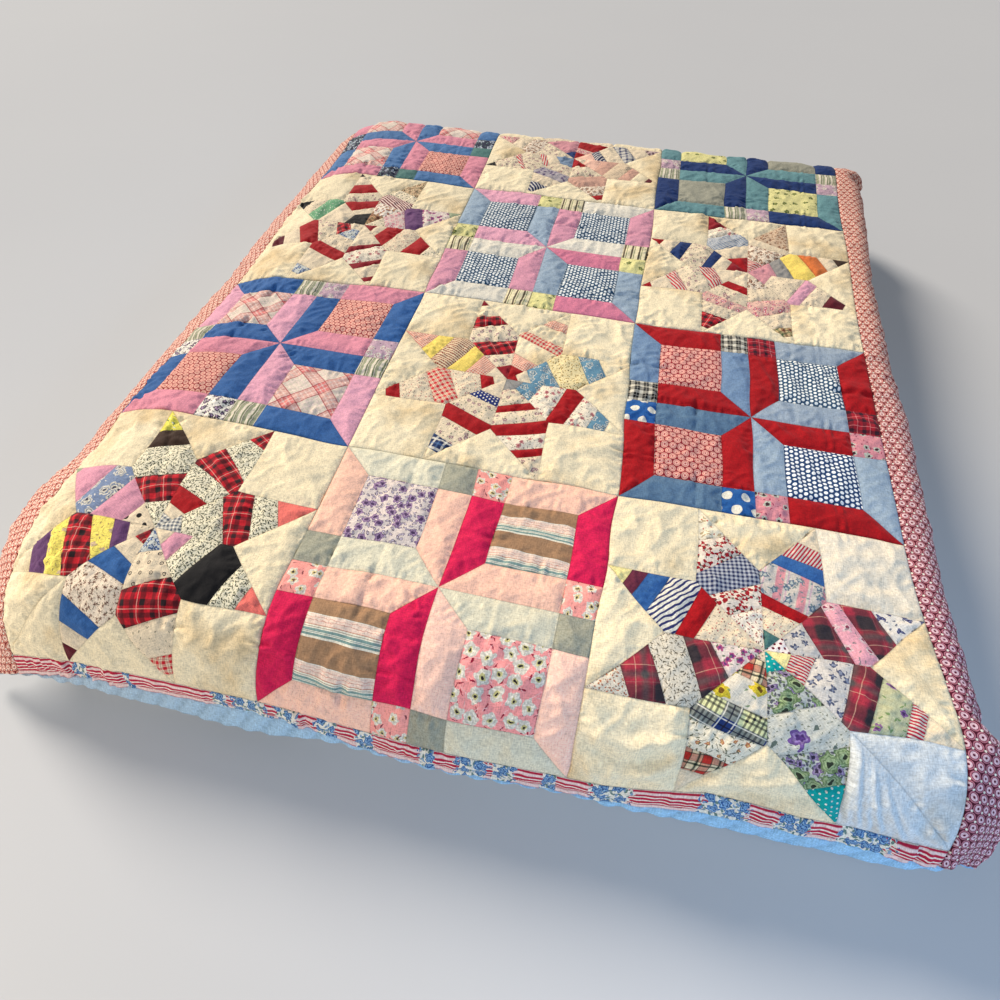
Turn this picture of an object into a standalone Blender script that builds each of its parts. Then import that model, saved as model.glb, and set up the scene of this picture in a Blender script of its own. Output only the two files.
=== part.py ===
"""Patchwork quilt lying over the rounded edges of a plain mattress.

Every sheet of the quilt is cut from one wrapping rule.  A point of the flat quilt is named by its column
and row, counted in blocks from the head's left corner of the pieced field.  The rule first moves the point
by the wander of the seams, then lays it on the mattress: flat on top, round an edge of the side's own
radius, and down at the side's own slope.  Layers are the same skin at different depths, so they stay the
same distance apart everywhere.
Metres, +Z up, +X to the quilt's right side, +Y to its head.  The origin is the middle of the footprint.
"""
from collections import namedtuple
from math import pi, radians

import bpy
import numpy as np

# The quilt, flat
BLOCK = 0.508
COLUMNS = 3
ROWS = 4
SIDE_BORDER = 0.117
END_BORDER = 0.038
TOP_THICK = 0.003
BACK_THICK = 0.002
GAP = 0.0003

# The height of the quilt's face above the floor, and how the mattress keeps clear of the cloth
FACE_HEIGHT = 0.250
EDGE_CLEAR = 0.005
MATTRESS_TURN = 0.030
UNDER_EDGE = 0.030
CORNER_TUCK = 0.06
CORNER_SQUARENESS = 3

# How each side goes over: where the round begins, from the middle of the flat quilt; its radius; the slope
# of the cloth below it; the slope at which the mattress turns down to its side wall, both in degrees
Edge = namedtuple("Edge", "start radius slope wall_slope")
LEFT = Edge(0.604, 0.370, 60, 38)
RIGHT = Edge(0.782, 0.045, 79, 74)
FOOT = Edge(0.796, 0.184, 79, 72)
HEAD = Edge(0.846, 0.120, 80, 72)
CORNER_RADIUS = 0.163
CORNER_SLOPE = 56

# The right edge swells outwards near the head: how far, where that begins, and over what length
RIGHT_SWELL = 0.035
SWELL_FROM = 0.250
SWELL_OVER = 0.600

# How far each crossing of the block seams lies from a true grid, in millimetres to the right and to the head
Wander = namedtuple("Wander", "row right_by head_by")
SEAM_WANDER = (
    Wander(0, (-15, -15, 5, 20), (-5, -5, 0, 0)),
    Wander(1, (10, -5, 5, 0), (10, 5, 0, 0)),
    Wander(2, (15, 0, -5, -15), (-30, -5, -10, -5)),
    Wander(3, (-25, 0, 5, -15), (20, 0, -5, -5)),
    Wander(4, (0, -5, -5, 20), (-8, 0, 0, 30)),
)

# How far the foot border's seam bows from the line of its crossings: place in blocks, millimetres to the head
Bow = namedtuple("Bow", "at head_by")
FOOT_BOW = (
    Bow(0.00, 0), Bow(0.40, -5), Bow(0.80, -2), Bow(1.00, 0), Bow(1.30, -8), Bow(1.90, -10), Bow(2.10, -4),
    Bow(2.25, 12), Bow(2.37, 23), Bow(2.50, 16), Bow(2.62, 5), Bow(2.75, 5), Bow(2.90, -2), Bow(3.00, -3),
)
BOW_FADE = 0.30

# Soft folds that stand out from the hems: side, place along it and half width in blocks, height at the hem
Fold = namedtuple("Fold", "side at half_width height")
HEM_FOLDS = (
    Fold("foot", 1.55, 0.55, 0.012),
    Fold("foot", 2.35, 0.50, 0.010),
    Fold("foot", 2.90, 0.30, 0.006),
    Fold("head", 0.60, 0.30, 0.010),
    Fold("head", 1.30, 0.35, 0.007),
    Fold("head", 2.40, 0.40, 0.012),
    Fold("left", 0.80, 0.45, 0.008),
    Fold("left", 2.10, 0.50, 0.006),
    Fold("left", 3.35, 0.40, 0.020),
    Fold("right", 0.50, 0.35, 0.008),
    Fold("right", 1.55, 0.40, 0.006),
    Fold("right", 2.60, 0.45, 0.009),
    Fold("right", 3.50, 0.30, 0.006),
)
FOLD_FLARE = 4
HEM_FLARE = 0.36

# How far the backing hangs past the foot border: place along the foot in blocks, length shown
Showing = namedtuple("Showing", "at length")
BACKING_SHOWS = (
    Showing(-0.23, 0.002), Showing(0.10, 0.002), Showing(0.20, 0.011), Showing(0.35, 0.018),
    Showing(0.50, 0.024), Showing(0.65, 0.028), Showing(0.80, 0.036), Showing(0.95, 0.038),
    Showing(1.05, 0.034), Showing(1.15, 0.020), Showing(1.25, 0.009), Showing(1.45, 0.004),
    Showing(2.05, 0.003), Showing(2.20, 0.011), Showing(2.35, 0.023), Showing(2.70, 0.023),
    Showing(2.80, 0.011), Showing(2.90, 0.004), Showing(3.23, 0.002),
)

# The gentle loft of the cloth on top: how much it rises, the length of its waves, and how they run across
LOFT = 0.003
LOFT_LENGTH = 0.330
Wave = namedtuple("Wave", "by_right by_head phase")
LOFT_WAVES = (Wave(1.0, 0.3, 0.0), Wave(-0.4, 0.8, 1.3))

# Cell sizes of the faceted sheets: on the flat, and on the round of each side
FLAT_CELL = 0.100
LEFT_CELL = 0.046
RIGHT_CELL = 0.015
FOOT_CELL = 0.031
HEAD_CELL = 0.022

# Facets of the mattress: down its rounded edge, down the turns to its wall and under it, round a corner,
# along a side
ROUND_FACETS = 6
TURN_FACETS = 3
CORNER_FACETS = 8
SIDE_FACETS = 8

# How far apart the skin is sampled to find its direction
NORMAL_STEP = 0.0005

Material = namedtuple("Material", "name colour roughness")
MUSLIN = Material("muslin patchwork", (0.80, 0.68, 0.45), 0.85)
RING_PRINT = Material("ring print", (0.60, 0.20, 0.17), 0.85)
ROSE_STRIPE = Material("rose stripe", (0.60, 0.25, 0.25), 0.85)
LIGHT_BLUE = Material("light blue backing", (0.36, 0.55, 0.78), 0.85)
TICKING = Material("mattress ticking", (0.70, 0.68, 0.64), 0.90)


def ease(t):
    """A smooth step from 0 to 1."""
    t = np.clip(t, 0, 1)
    return t * t * (3 - 2 * t)


def seam_wander(column, row):
    """How far the sewn seams stand off a true grid at a point of the quilt, to the right and to the head."""
    right = np.array([line.right_by for line in SEAM_WANDER]) / 1000
    head = np.array([line.head_by for line in SEAM_WANDER]) / 1000
    column = np.clip(column, 0, COLUMNS)
    row = np.clip(row, 0, ROWS)
    left_seam = np.minimum(column.astype(int), COLUMNS - 1)
    upper_seam = np.minimum(row.astype(int), ROWS - 1)
    across = ease(column - left_seam)
    along = ease(row - upper_seam)

    def blend(table):
        upper = table[upper_seam, left_seam] * (1 - across) + table[upper_seam, left_seam + 1] * across
        lower = table[upper_seam + 1, left_seam] * (1 - across) + table[upper_seam + 1, left_seam + 1] * across
        return upper * (1 - along) + lower * along

    bow = np.interp(column, [knot.at for knot in FOOT_BOW], [knot.head_by / 1000 for knot in FOOT_BOW])
    return blend(right), blend(head) + bow * ease((row - ROWS) / BOW_FADE + 1)


def corner_blend(side_value, end_value, corner_value, angle, pick):
    """A size on the way round a corner: the side's, then the corner's own on the diagonal, then the end's."""
    end_share = np.sin(angle) ** 2
    diagonal = np.sin(2 * angle) ** 2
    plain = side_value * (1 - end_share) + end_value * end_share
    return plain * (1 - diagonal) + pick(plain, corner_value) * diagonal


def side_start(to_right, head):
    """How far from the middle a side's round begins, at a distance towards the head."""
    return np.where(to_right, RIGHT.start + RIGHT_SWELL * ease((head - SWELL_FROM) / SWELL_OVER), LEFT.start)


def over_the_edge(right, head):
    """Lay points of the flat cloth on the mattress's rounded edges; returns their places."""
    to_right = right >= 0
    to_head = head >= 0
    start_x = side_start(to_right, head)
    start_y = np.where(to_head, HEAD.start, FOOT.start)
    past_x = np.clip(np.abs(right) - start_x, 0, None)
    past_y = np.clip(np.abs(head) - start_y, 0, None)
    past = np.hypot(past_x, past_y)
    angle = np.arctan2(past_y, past_x)
    radius = corner_blend(np.where(to_right, RIGHT.radius, LEFT.radius),
                          np.where(to_head, HEAD.radius, FOOT.radius), CORNER_RADIUS, angle, np.maximum)
    slope = np.radians(corner_blend(np.where(to_right, RIGHT.slope, LEFT.slope),
                                    np.where(to_head, HEAD.slope, FOOT.slope), CORNER_SLOPE, angle, np.minimum))
    on_round = np.minimum(past, radius * slope)
    turned = on_round / radius
    straight = past - on_round
    reach = radius * np.sin(turned) + straight * np.cos(slope)
    drop = radius * (1 - np.cos(turned)) + straight * np.sin(slope)
    is_over = past > 0
    x = np.where(to_right, 1, -1) * (np.minimum(np.abs(right), start_x) + is_over * reach * np.cos(angle))
    y = np.where(to_head, 1, -1) * (np.minimum(np.abs(head), start_y) + is_over * reach * np.sin(angle))
    return np.stack([x, y, FACE_HEIGHT - drop], -1)


def stand_off(column, row, right, head):
    """How far the cloth's face stands off the plain wrapped skin: the loft on top and the folds at the hems."""
    turns = 2 * pi / LOFT_LENGTH
    waves = [np.sin(turns * (wave.by_right * right + wave.by_head * head) + wave.phase) for wave in LOFT_WAVES]
    total = LOFT * (0.5 + sum(waves) / (2 * len(waves)))
    sides = {
        "left": (row, -right, LEFT), "right": (row, right, RIGHT),
        "foot": (column, -head, FOOT), "head": (column, head, HEAD),
    }
    hems = {
        "left": COLUMNS * BLOCK / 2 + SIDE_BORDER, "right": COLUMNS * BLOCK / 2 + SIDE_BORDER,
        "foot": ROWS * BLOCK / 2 + END_BORDER, "head": ROWS * BLOCK / 2 + END_BORDER,
    }
    for fold in HEM_FOLDS:
        place, outward, edge = sides[fold.side]
        down = np.clip((outward - edge.start) / (hems[fold.side] - edge.start), 0, 1)
        swell = 0.5 + 0.5 * np.cos(pi * np.clip((place - fold.at) / fold.half_width, -1, 1))
        total = total + fold.height * swell * down ** FOLD_FLARE
    return total + HEM_FLARE * np.clip(-head - hems["foot"], 0, None)


def skin(column, row, depth):
    """Points of the cloth's skin at a depth below its face, and their directions."""
    column, row = np.broadcast_arrays(np.asarray(column, float), np.asarray(row, float))

    def plain(shift_right, shift_head):
        wander_right, wander_head = seam_wander(column, row)
        right = (column - COLUMNS / 2) * BLOCK + wander_right + shift_right
        head = (ROWS / 2 - row) * BLOCK + wander_head + shift_head
        return over_the_edge(right, head), right, head

    place, right, head = plain(0, 0)
    along_width = plain(NORMAL_STEP, 0)[0] - plain(-NORMAL_STEP, 0)[0]
    along_length = plain(0, NORMAL_STEP)[0] - plain(0, -NORMAL_STEP)[0]
    normal = np.cross(along_width, along_length)
    normal /= np.linalg.norm(normal, axis=-1, keepdims=True)
    lift = stand_off(column, row, right, head) - depth
    return place + normal * lift[..., None]


def backing_shown(column):
    """How far the backing hangs past the foot border at a column."""
    places = [row.at for row in BACKING_SHOWS]
    lengths = [row.length for row in BACKING_SHOWS]
    return np.interp(column, places, lengths)


def cells(first, last, size):
    """Places from first to last, both included, in equal cells of about this size."""
    count = max(1, round(abs(last - first) / size))
    return list(np.linspace(first, last, count + 1))


def grid_lines():
    """Columns and rows, in blocks, where the sheets have edges between facets."""
    side = SIDE_BORDER / BLOCK
    end = END_BORDER / BLOCK
    left_round = COLUMNS / 2 - LEFT.start / BLOCK
    foot_round = ROWS / 2 + FOOT.start / BLOCK
    head_round = ROWS / 2 - HEAD.start / BLOCK
    columns = (cells(-side, 0, LEFT_CELL / BLOCK), cells(0, left_round, LEFT_CELL / BLOCK),
               cells(left_round, COLUMNS, FLAT_CELL / BLOCK), cells(COLUMNS, COLUMNS + side, RIGHT_CELL / BLOCK))
    rows = (cells(-end, 0, HEAD_CELL / BLOCK), cells(0, head_round, HEAD_CELL / BLOCK),
            cells(head_round, foot_round, FLAT_CELL / BLOCK), cells(foot_round, ROWS, FOOT_CELL / BLOCK),
            cells(ROWS, ROWS + end, FOOT_CELL / BLOCK))

    def join(runs):
        return np.array(sorted(set(np.round(np.concatenate(runs), 9))))

    return join(columns), join(rows)


def within(lines, first, last):
    """The grid lines from first to last, with the two ends drawn in by half the gap between pieces."""
    inset = GAP / 2 / BLOCK
    inner = [line for line in lines if first + inset < line < last - inset]
    return np.array([first + inset, *inner, last - inset])


def add_object(name, points, triangles, look):
    """One closed body from its points and triangles, in a plain Principled material."""
    material = bpy.data.materials.new(name + " " + look.name)
    material.use_nodes = True
    shader = material.node_tree.nodes["Principled BSDF"]
    shader.inputs["Base Color"].default_value = (*look.colour, 1)
    shader.inputs["Roughness"].default_value = look.roughness
    shader.inputs["Metallic"].default_value = 0
    mesh = bpy.data.meshes.new(name)
    mesh.from_pydata([tuple(point) for point in points], [], triangles)
    mesh.materials.append(material)
    body = bpy.data.objects.new(name, mesh)
    bpy.context.scene.collection.objects.link(body)
    return body


def sheet(name, columns, rows, depth, thickness, look, hem_past=None):
    """A sheet of cloth between its face and its underside, over a grid of columns and rows.

    hem_past gives how far the last row hangs past its line, in metres, at each column.
    """
    column, row = np.meshgrid(columns, rows)
    if hem_past is not None:
        row = row.copy()
        row[-1] += hem_past(columns) / BLOCK
    face = skin(column, row, depth).reshape(-1, 3)
    under = skin(column, row, depth + thickness).reshape(-1, 3)
    points = np.concatenate([face, under])
    wide = len(columns)
    tall = len(rows)
    below = len(face)
    triangles = []
    for j in range(tall - 1):
        for i in range(wide - 1):
            a = j * wide + i
            b, c, d = a + 1, a + wide, a + wide + 1
            triangles += [(a, c, d), (a, d, b)]
            triangles += [(a + below, d + below, c + below), (a + below, b + below, d + below)]
    around = [j * wide for j in range(tall)]
    around += [(tall - 1) * wide + i for i in range(1, wide)]
    around += [j * wide + wide - 1 for j in range(tall - 2, -1, -1)]
    around += [i for i in range(wide - 2, 0, -1)]
    for here, there in zip(around, around[1:] + around[:1]):
        triangles += [(here, here + below, there + below), (here, there + below, there)]
    return add_object(name, points, triangles, look)


def plain_reach(edge):
    """How far the mattress's side wall stands out from the rim of its flat top, away from the corners."""
    depth = TOP_THICK + BACK_THICK + 2 * GAP
    slope = radians(edge.wall_slope)
    return (edge.radius - depth) * np.sin(slope) + MATTRESS_TURN * (1 - np.sin(slope))


def mattress_ring(side, end, angle, at_x, at_y):
    """The mattress's section at one spot of its flat top's rim, from the rim down to the underside.

    angle turns from the side's direction to the end's; at_x and at_y are the spot.
    """
    depth = TOP_THICK + BACK_THICK + 2 * GAP
    radius = corner_blend(side.radius, end.radius, CORNER_RADIUS, angle, max) - depth
    slope = radians(corner_blend(side.wall_slope, end.wall_slope, CORNER_SLOPE, angle, min))
    line = [(radius * np.sin(turned), depth + radius * (1 - np.cos(turned)))
            for turned in np.linspace(0, slope, ROUND_FACETS + 1)]
    reach, drop = line[-1]
    for turned in np.linspace(slope, pi / 2, TURN_FACETS + 1)[1:]:
        line.append((reach + MATTRESS_TURN * (np.sin(turned) - np.sin(slope)),
                     drop + MATTRESS_TURN * (np.cos(slope) - np.cos(turned))))
    wall = line[-1][0]
    for turned in np.linspace(0, pi / 2, TURN_FACETS + 1):
        line.append((wall - UNDER_EDGE * (1 - np.cos(turned)), FACE_HEIGHT - UNDER_EDGE * (1 - np.sin(turned))))
    tucked = 1 - CORNER_TUCK * min(1, 3 * np.sin(2 * angle))
    across = np.cos(angle) / plain_reach(side)
    along = np.sin(angle) / plain_reach(end)
    limit = (across ** CORNER_SQUARENESS + along ** CORNER_SQUARENESS) ** (-1 / CORNER_SQUARENESS)
    out_x = np.sign(at_x) * np.cos(angle) * tucked
    out_y = np.sign(at_y) * np.sin(angle) * tucked
    return np.array([(at_x + out_x * min(reach, limit), at_y + out_y * min(reach, limit), FACE_HEIGHT - drop)
                     for reach, drop in line])


def mattress():
    """The mattress: a flat top, the same rounded edges a little inside the cloth, straight sides, a flat underside."""
    corners = ((RIGHT, HEAD, 1, 1), (LEFT, HEAD, -1, 1), (LEFT, FOOT, -1, -1), (RIGHT, FOOT, 1, -1))
    spots = []
    for number, (side, end, sign_x, sign_y) in enumerate(corners):
        rim_y = sign_y * (end.start - EDGE_CLEAR)
        rim_x = sign_x * (float(side_start(sign_x > 0, rim_y)) - EDGE_CLEAR)
        angles = np.linspace(0, pi / 2, CORNER_FACETS + 1)
        if number % 2:
            angles = angles[::-1]
        spots += [(side, end, angle, rim_x, rim_y) for angle in angles]
        next_side, next_end, next_x, next_y = corners[(number + 1) % 4]
        far_y = next_y * (next_end.start - EDGE_CLEAR)
        far_x = next_x * (float(side_start(next_x > 0, far_y)) - EDGE_CLEAR)
        for share in np.linspace(0, 1, SIDE_FACETS + 1)[1:-1]:
            between_y = rim_y + (far_y - rim_y) * share
            between_x = rim_x + (far_x - rim_x) * share
            if sign_x == next_x:
                between_x = sign_x * (float(side_start(sign_x > 0, between_y)) - EDGE_CLEAR)
            spots.append((side, end, angles[-1], between_x, between_y))
    rings = np.array([mattress_ring(*spot) for spot in spots])
    around, down = rings.shape[:2]
    points = [tuple(point) for ring in rings for point in ring]
    triangles = []
    for i in range(around):
        j = (i + 1) % around
        for k in range(down - 1):
            a, b, c, d = i * down + k, j * down + k, j * down + k + 1, i * down + k + 1
            triangles += [(a, c, b), (a, d, c)]
    for level in (0, down - 1):
        middle = len(points)
        rim = rings[:, level]
        points.append(tuple((rim.min(0) + rim.max(0)) / 2))
        for i in range(around):
            a, b = i * down + level, (i + 1) % around * down + level
            triangles.append((middle, a, b) if level == 0 else (middle, b, a))
    return add_object("mattress", points, triangles, TICKING)


def build():
    """Make every body, then stand them all on the floor about the origin."""
    columns, rows = grid_lines()
    side = SIDE_BORDER / BLOCK
    end = END_BORDER / BLOCK
    field_columns = within(columns, 0, COLUMNS)
    field_rows = within(rows, 0, ROWS)
    whole_rows = within(rows, -end, ROWS + end)
    left_columns = within(columns, -side, 0)
    right_columns = within(columns, COLUMNS, COLUMNS + side)
    all_columns = within(columns, -side, COLUMNS + side)
    backing_rows = np.append(whole_rows, ROWS + end)
    bodies = [
        sheet("quilt_top", field_columns, field_rows, 0, TOP_THICK, MUSLIN),
        sheet("border_left", left_columns, whole_rows, 0, TOP_THICK, RING_PRINT),
        sheet("border_right", right_columns, whole_rows, 0, TOP_THICK, RING_PRINT),
        sheet("border_head", field_columns, within(rows, -end, 0), 0, TOP_THICK, ROSE_STRIPE),
        sheet("border_foot", field_columns, within(rows, ROWS, ROWS + end), 0, TOP_THICK, ROSE_STRIPE),
        sheet("backing", all_columns, backing_rows, TOP_THICK + GAP, BACK_THICK, LIGHT_BLUE, backing_shown),
        mattress(),
    ]
    everything = np.array([vertex.co for body in bodies for vertex in body.data.vertices])
    low = everything.min(0)
    high = everything.max(0)
    for body in bodies:
        body.location = (-(low[0] + high[0]) / 2, -(low[1] + high[1]) / 2, -low[2])


for leftover in list(bpy.data.objects):
    bpy.data.objects.remove(leftover, do_unlink=True)
build()
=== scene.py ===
"""A patchwork quilt of twelve blocks, spread over the rounded edges of a plain mattress.

Flat places on the quilt are given in blocks from the head's left corner of the pieced field: columns run to
the right and rows run to the foot.  Lengths are in metres unless a comment says millimetres, +X is the
quilt's right side, +Y its head and +Z up.
"""

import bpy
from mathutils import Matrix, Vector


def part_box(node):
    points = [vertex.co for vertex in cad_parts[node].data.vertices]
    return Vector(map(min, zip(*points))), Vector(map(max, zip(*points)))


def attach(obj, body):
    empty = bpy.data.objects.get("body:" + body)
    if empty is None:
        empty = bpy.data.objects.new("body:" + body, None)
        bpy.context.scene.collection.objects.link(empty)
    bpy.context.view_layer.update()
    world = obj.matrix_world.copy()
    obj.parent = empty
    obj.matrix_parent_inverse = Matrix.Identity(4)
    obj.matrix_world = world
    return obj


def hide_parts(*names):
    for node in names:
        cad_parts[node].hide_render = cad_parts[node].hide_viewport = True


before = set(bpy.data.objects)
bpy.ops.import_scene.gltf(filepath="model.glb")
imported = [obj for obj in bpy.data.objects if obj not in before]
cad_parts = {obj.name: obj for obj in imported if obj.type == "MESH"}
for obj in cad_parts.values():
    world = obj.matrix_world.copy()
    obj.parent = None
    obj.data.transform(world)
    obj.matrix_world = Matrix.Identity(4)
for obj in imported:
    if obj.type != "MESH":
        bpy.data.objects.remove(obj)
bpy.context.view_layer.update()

from collections import namedtuple
from math import ceil, cos, pi, radians, sin, tau

import bpy
import numpy as np
from mathutils import Matrix, Vector
from mathutils.geometry import delaunay_2d_cdt


# ---- The mattress --------------------------------------------------------------------------------
# A plain mattress with well rounded upper edges, covered in off-white cotton ticking.  The ticking's
# panels are joined by a piped seam low on the wall, and the underside is a grey felt.

FACE_HEIGHT = 0.250
CLOTH_DEPTH = 0.0056
EDGE_CLEAR = 0.005
MATTRESS_TURN = 0.030
UNDER_EDGE = 0.030
CORNER_TUCK = 0.06
CORNER_SQUARENESS = 3
MILLIMETRES = 1000

# How each side goes over: where the round begins, from the quilt's middle; its radius; the slopes of the
# cloth below it and of the mattress where it turns down to its wall, in degrees
Edge = namedtuple("Edge", "start radius slope wall_slope")
LEFT = Edge(0.604, 0.370, 60, 38)
RIGHT = Edge(0.782, 0.045, 79, 74)
FOOT = Edge(0.796, 0.184, 79, 72)
HEAD = Edge(0.846, 0.120, 80, 72)
CORNER_RADIUS = 0.163
CORNER_SLOPE = 56
RIGHT_SWELL = 0.035
SWELL_FROM = 0.250
SWELL_OVER = 0.600

# How far the long sides are drawn in from their plain lines: place along the side in blocks, millimetres
BLOCK = 0.508
ROWS = 4
LEFT_DRAWN_IN = (
    (0.0, 10), (0.5, 16), (0.9, 16), (1.3, 5), (1.6, 5), (1.9, 21), (2.1, 20), (2.5, 12), (2.75, 14),
    (2.95, 9), (3.15, 26), (3.3, 18), (3.5, 13), (3.7, 36), (4.0, 20),
)
RIGHT_DRAWN_IN = (
    (0.0, 45), (0.5, 10), (0.9, 5), (1.7, 7), (2.05, 15), (2.35, 5), (2.75, 14), (3.25, 12), (3.45, 9),
    (3.6, 11), (3.8, 17), (4.0, 14),
)

WALL_CROWN = 0.0025
PIPING_RADIUS = 0.0045
ROUND_FACETS = 16
TURN_FACETS = 6
WALL_FACETS = 14
PIPING_FACETS = 8
CORNER_FACETS = 26
SIDE_FACETS = 64


def ease(t):
    """A smooth step from 0 to 1."""
    t = np.clip(t, 0, 1)
    return t * t * (3 - 2 * t)


def ripple(x, y, length, seed):
    """Soft uneven waves of about this length, from -1 to 1."""
    heights = np.random.default_rng(seed).uniform(-1, 1, (64, 64))
    across = x / length + 23.7
    along = y / length + 31.3
    left = np.floor(across).astype(int)
    low = np.floor(along).astype(int)
    share_x = ease(across - left)
    share_y = ease(along - low)

    def height(i, j):
        return heights[(left + i) % 64, (low + j) % 64]

    return ((height(0, 0) * (1 - share_x) + height(1, 0) * share_x) * (1 - share_y)
            + (height(0, 1) * (1 - share_x) + height(1, 1) * share_x) * share_y)


def corner_blend(side_value, end_value, corner_value, angle, pick):
    """A size on the way round a corner: the side's, the corner's own on the diagonal, then the end's."""
    end_share = np.sin(angle) ** 2
    diagonal = np.sin(2 * angle) ** 2
    plain = side_value * (1 - end_share) + end_value * end_share
    return plain * (1 - diagonal) + pick(plain, corner_value) * diagonal


def side_start(to_right, head, drawn_in=True):
    """How far from the middle a side's round begins, at a distance towards the head."""
    start = np.where(to_right, RIGHT.start + RIGHT_SWELL * ease((head - SWELL_FROM) / SWELL_OVER),
                     LEFT.start)
    left, right = (np.interp(ROWS / 2 - head / BLOCK, *np.transpose(table)) / MILLIMETRES
                   for table in (LEFT_DRAWN_IN, RIGHT_DRAWN_IN))
    return start - np.where(to_right, right, left) * drawn_in


def plain_reach(edge):
    """How far the mattress's wall stands out from the rim of its flat top, away from the corners."""
    slope = radians(edge.wall_slope)
    return (edge.radius - CLOTH_DEPTH) * sin(slope) + MATTRESS_TURN * (1 - sin(slope))


def mattress_ring(side, end, angle, at_x, at_y):
    """The mattress's section at one spot of its flat top's rim, from the rim down and in under the edge."""
    radius = corner_blend(side.radius, end.radius, CORNER_RADIUS, angle, max) - CLOTH_DEPTH
    slope = radians(corner_blend(side.wall_slope, end.wall_slope, CORNER_SLOPE, angle, min))
    line = [(radius * np.sin(turned), CLOTH_DEPTH + radius * (1 - np.cos(turned)))
            for turned in np.linspace(0, slope, ROUND_FACETS + 1)]
    reach, drop = line[-1]
    for turned in np.linspace(slope, pi / 2, TURN_FACETS + 1)[1:]:
        line.append((reach + MATTRESS_TURN * (np.sin(turned) - np.sin(slope)),
                     drop + MATTRESS_TURN * (np.cos(slope) - np.cos(turned))))
    wall, top = line[-1]
    foot_of_wall = FACE_HEIGHT - UNDER_EDGE - PIPING_RADIUS
    for share in np.linspace(0, 1, WALL_FACETS + 1)[1:]:
        line.append((wall + WALL_CROWN * np.sin(pi * share), top + (foot_of_wall - top) * share))
    for turned in np.linspace(0, pi, PIPING_FACETS + 1)[1:]:
        line.append((wall + PIPING_RADIUS * np.sin(turned),
                     foot_of_wall + PIPING_RADIUS * (1 - np.cos(turned))))
    low = UNDER_EDGE - PIPING_RADIUS
    for turned in np.linspace(0, pi / 2, TURN_FACETS + 1)[1:]:
        line.append((wall - UNDER_EDGE * (1 - np.cos(turned)), FACE_HEIGHT - low * (1 - np.sin(turned))))
    tucked = 1 - CORNER_TUCK * min(1, 3 * np.sin(2 * angle))
    across = np.cos(angle) / plain_reach(side)
    along = np.sin(angle) / plain_reach(end)
    limit = (across ** CORNER_SQUARENESS + along ** CORNER_SQUARENESS) ** (-1 / CORNER_SQUARENESS)
    out_x = np.sign(at_x) * np.cos(angle) * tucked
    out_y = np.sign(at_y) * np.sin(angle) * tucked
    return np.array([(at_x + out_x * min(reach, limit), at_y + out_y * min(reach, limit),
                      FACE_HEIGHT - drop)
                     for reach, drop in line])


def mattress_rings(drawn_in):
    """The mattress's sections all the way round, counterclockwise from the right side near the head."""
    corners = ((RIGHT, HEAD, 1, 1), (LEFT, HEAD, -1, 1), (LEFT, FOOT, -1, -1), (RIGHT, FOOT, 1, -1))
    spots = []
    for number, (side, end, sign_x, sign_y) in enumerate(corners):
        rim_y = sign_y * (end.start - EDGE_CLEAR)
        rim_x = sign_x * (float(side_start(sign_x > 0, rim_y, drawn_in)) - EDGE_CLEAR)
        angles = np.linspace(0, pi / 2, CORNER_FACETS + 1)
        if number % 2:
            angles = angles[::-1]
        spots += [(side, end, angle, rim_x, rim_y) for angle in angles]
        _, next_end, next_x, next_y = corners[(number + 1) % 4]
        far_y = next_y * (next_end.start - EDGE_CLEAR)
        far_x = next_x * (float(side_start(next_x > 0, far_y, drawn_in)) - EDGE_CLEAR)
        for share in np.linspace(0, 1, SIDE_FACETS + 1)[1:-1]:
            between_y = rim_y + (far_y - rim_y) * share
            between_x = rim_x + (far_x - rim_x) * share
            if sign_x == next_x:
                between_x = sign_x * (float(side_start(sign_x > 0, between_y, drawn_in)) - EDGE_CLEAR)
            spots.append((side, end, angles[-1], between_x, between_y))
    return np.array([mattress_ring(*spot) for spot in spots])


def dye(red, green, blue):
    """A dye by its strengths from 0 to 255, as the linear light that a shader takes."""
    return tuple(c / 255 / 12.92 if c < 11 else ((c / 255 + 0.055) / 1.055) ** 2.4
                 for c in (red, green, blue))


class Thread:
    """A socket in a shader.  Arithmetic on it adds Math nodes, and its node method adds any other node."""

    def __init__(self, tree, socket=None):
        self.tree = tree
        self.socket = socket

    def node(self, kind, settings=None, sockets=None, out=0):
        node = self.tree.nodes.new("ShaderNode" + kind)
        for name, value in (settings or {}).items():
            setattr(node, name, value)
        for name, value in (sockets or {}).items():
            socket = node.inputs[name]
            if isinstance(value, Thread):
                self.tree.links.new(value.socket, socket)
            elif socket.type == "RGBA":
                socket.default_value = (*value, 1)
            else:
                socket.default_value = value
        return Thread(self.tree, node.outputs[out])

    def also(self, out):
        """Another output of the same node."""
        return Thread(self.tree, self.socket.node.outputs[out])

    def maths(self, operation, *values, clamp=False):
        return self.node("Math", {"operation": operation, "use_clamp": clamp},
                         dict(enumerate((self, *values))))

    def vectors(self, operation, *values):
        return self.node("VectorMath", {"operation": operation}, dict(enumerate((self, *values))))

    def noise(self, scale, detail, out=0):
        """Uneven clouds over these flat places."""
        sockets = {"Vector": self, "Scale": scale, "Detail": detail}
        return self.node("TexNoise", {"noise_dimensions": "2D"}, sockets, out)

    def mix(self, without, with_it):
        """A colour where this mask is 0, and another where it is 1."""
        return self.node("Mix", {"data_type": "RGBA"}, {0: self, 6: without, 7: with_it}, out=2)

    def __add__(self, other):
        return self.maths("ADD", other)

    def __sub__(self, other):
        return self.maths("SUBTRACT", other)

    def __rsub__(self, other):
        return (self * -1) + other

    def __mul__(self, other):
        return self.maths("MULTIPLY", other)

    def __lt__(self, other):
        return self.maths("LESS_THAN", other)

    __radd__ = __add__
    __rmul__ = __mul__


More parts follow.
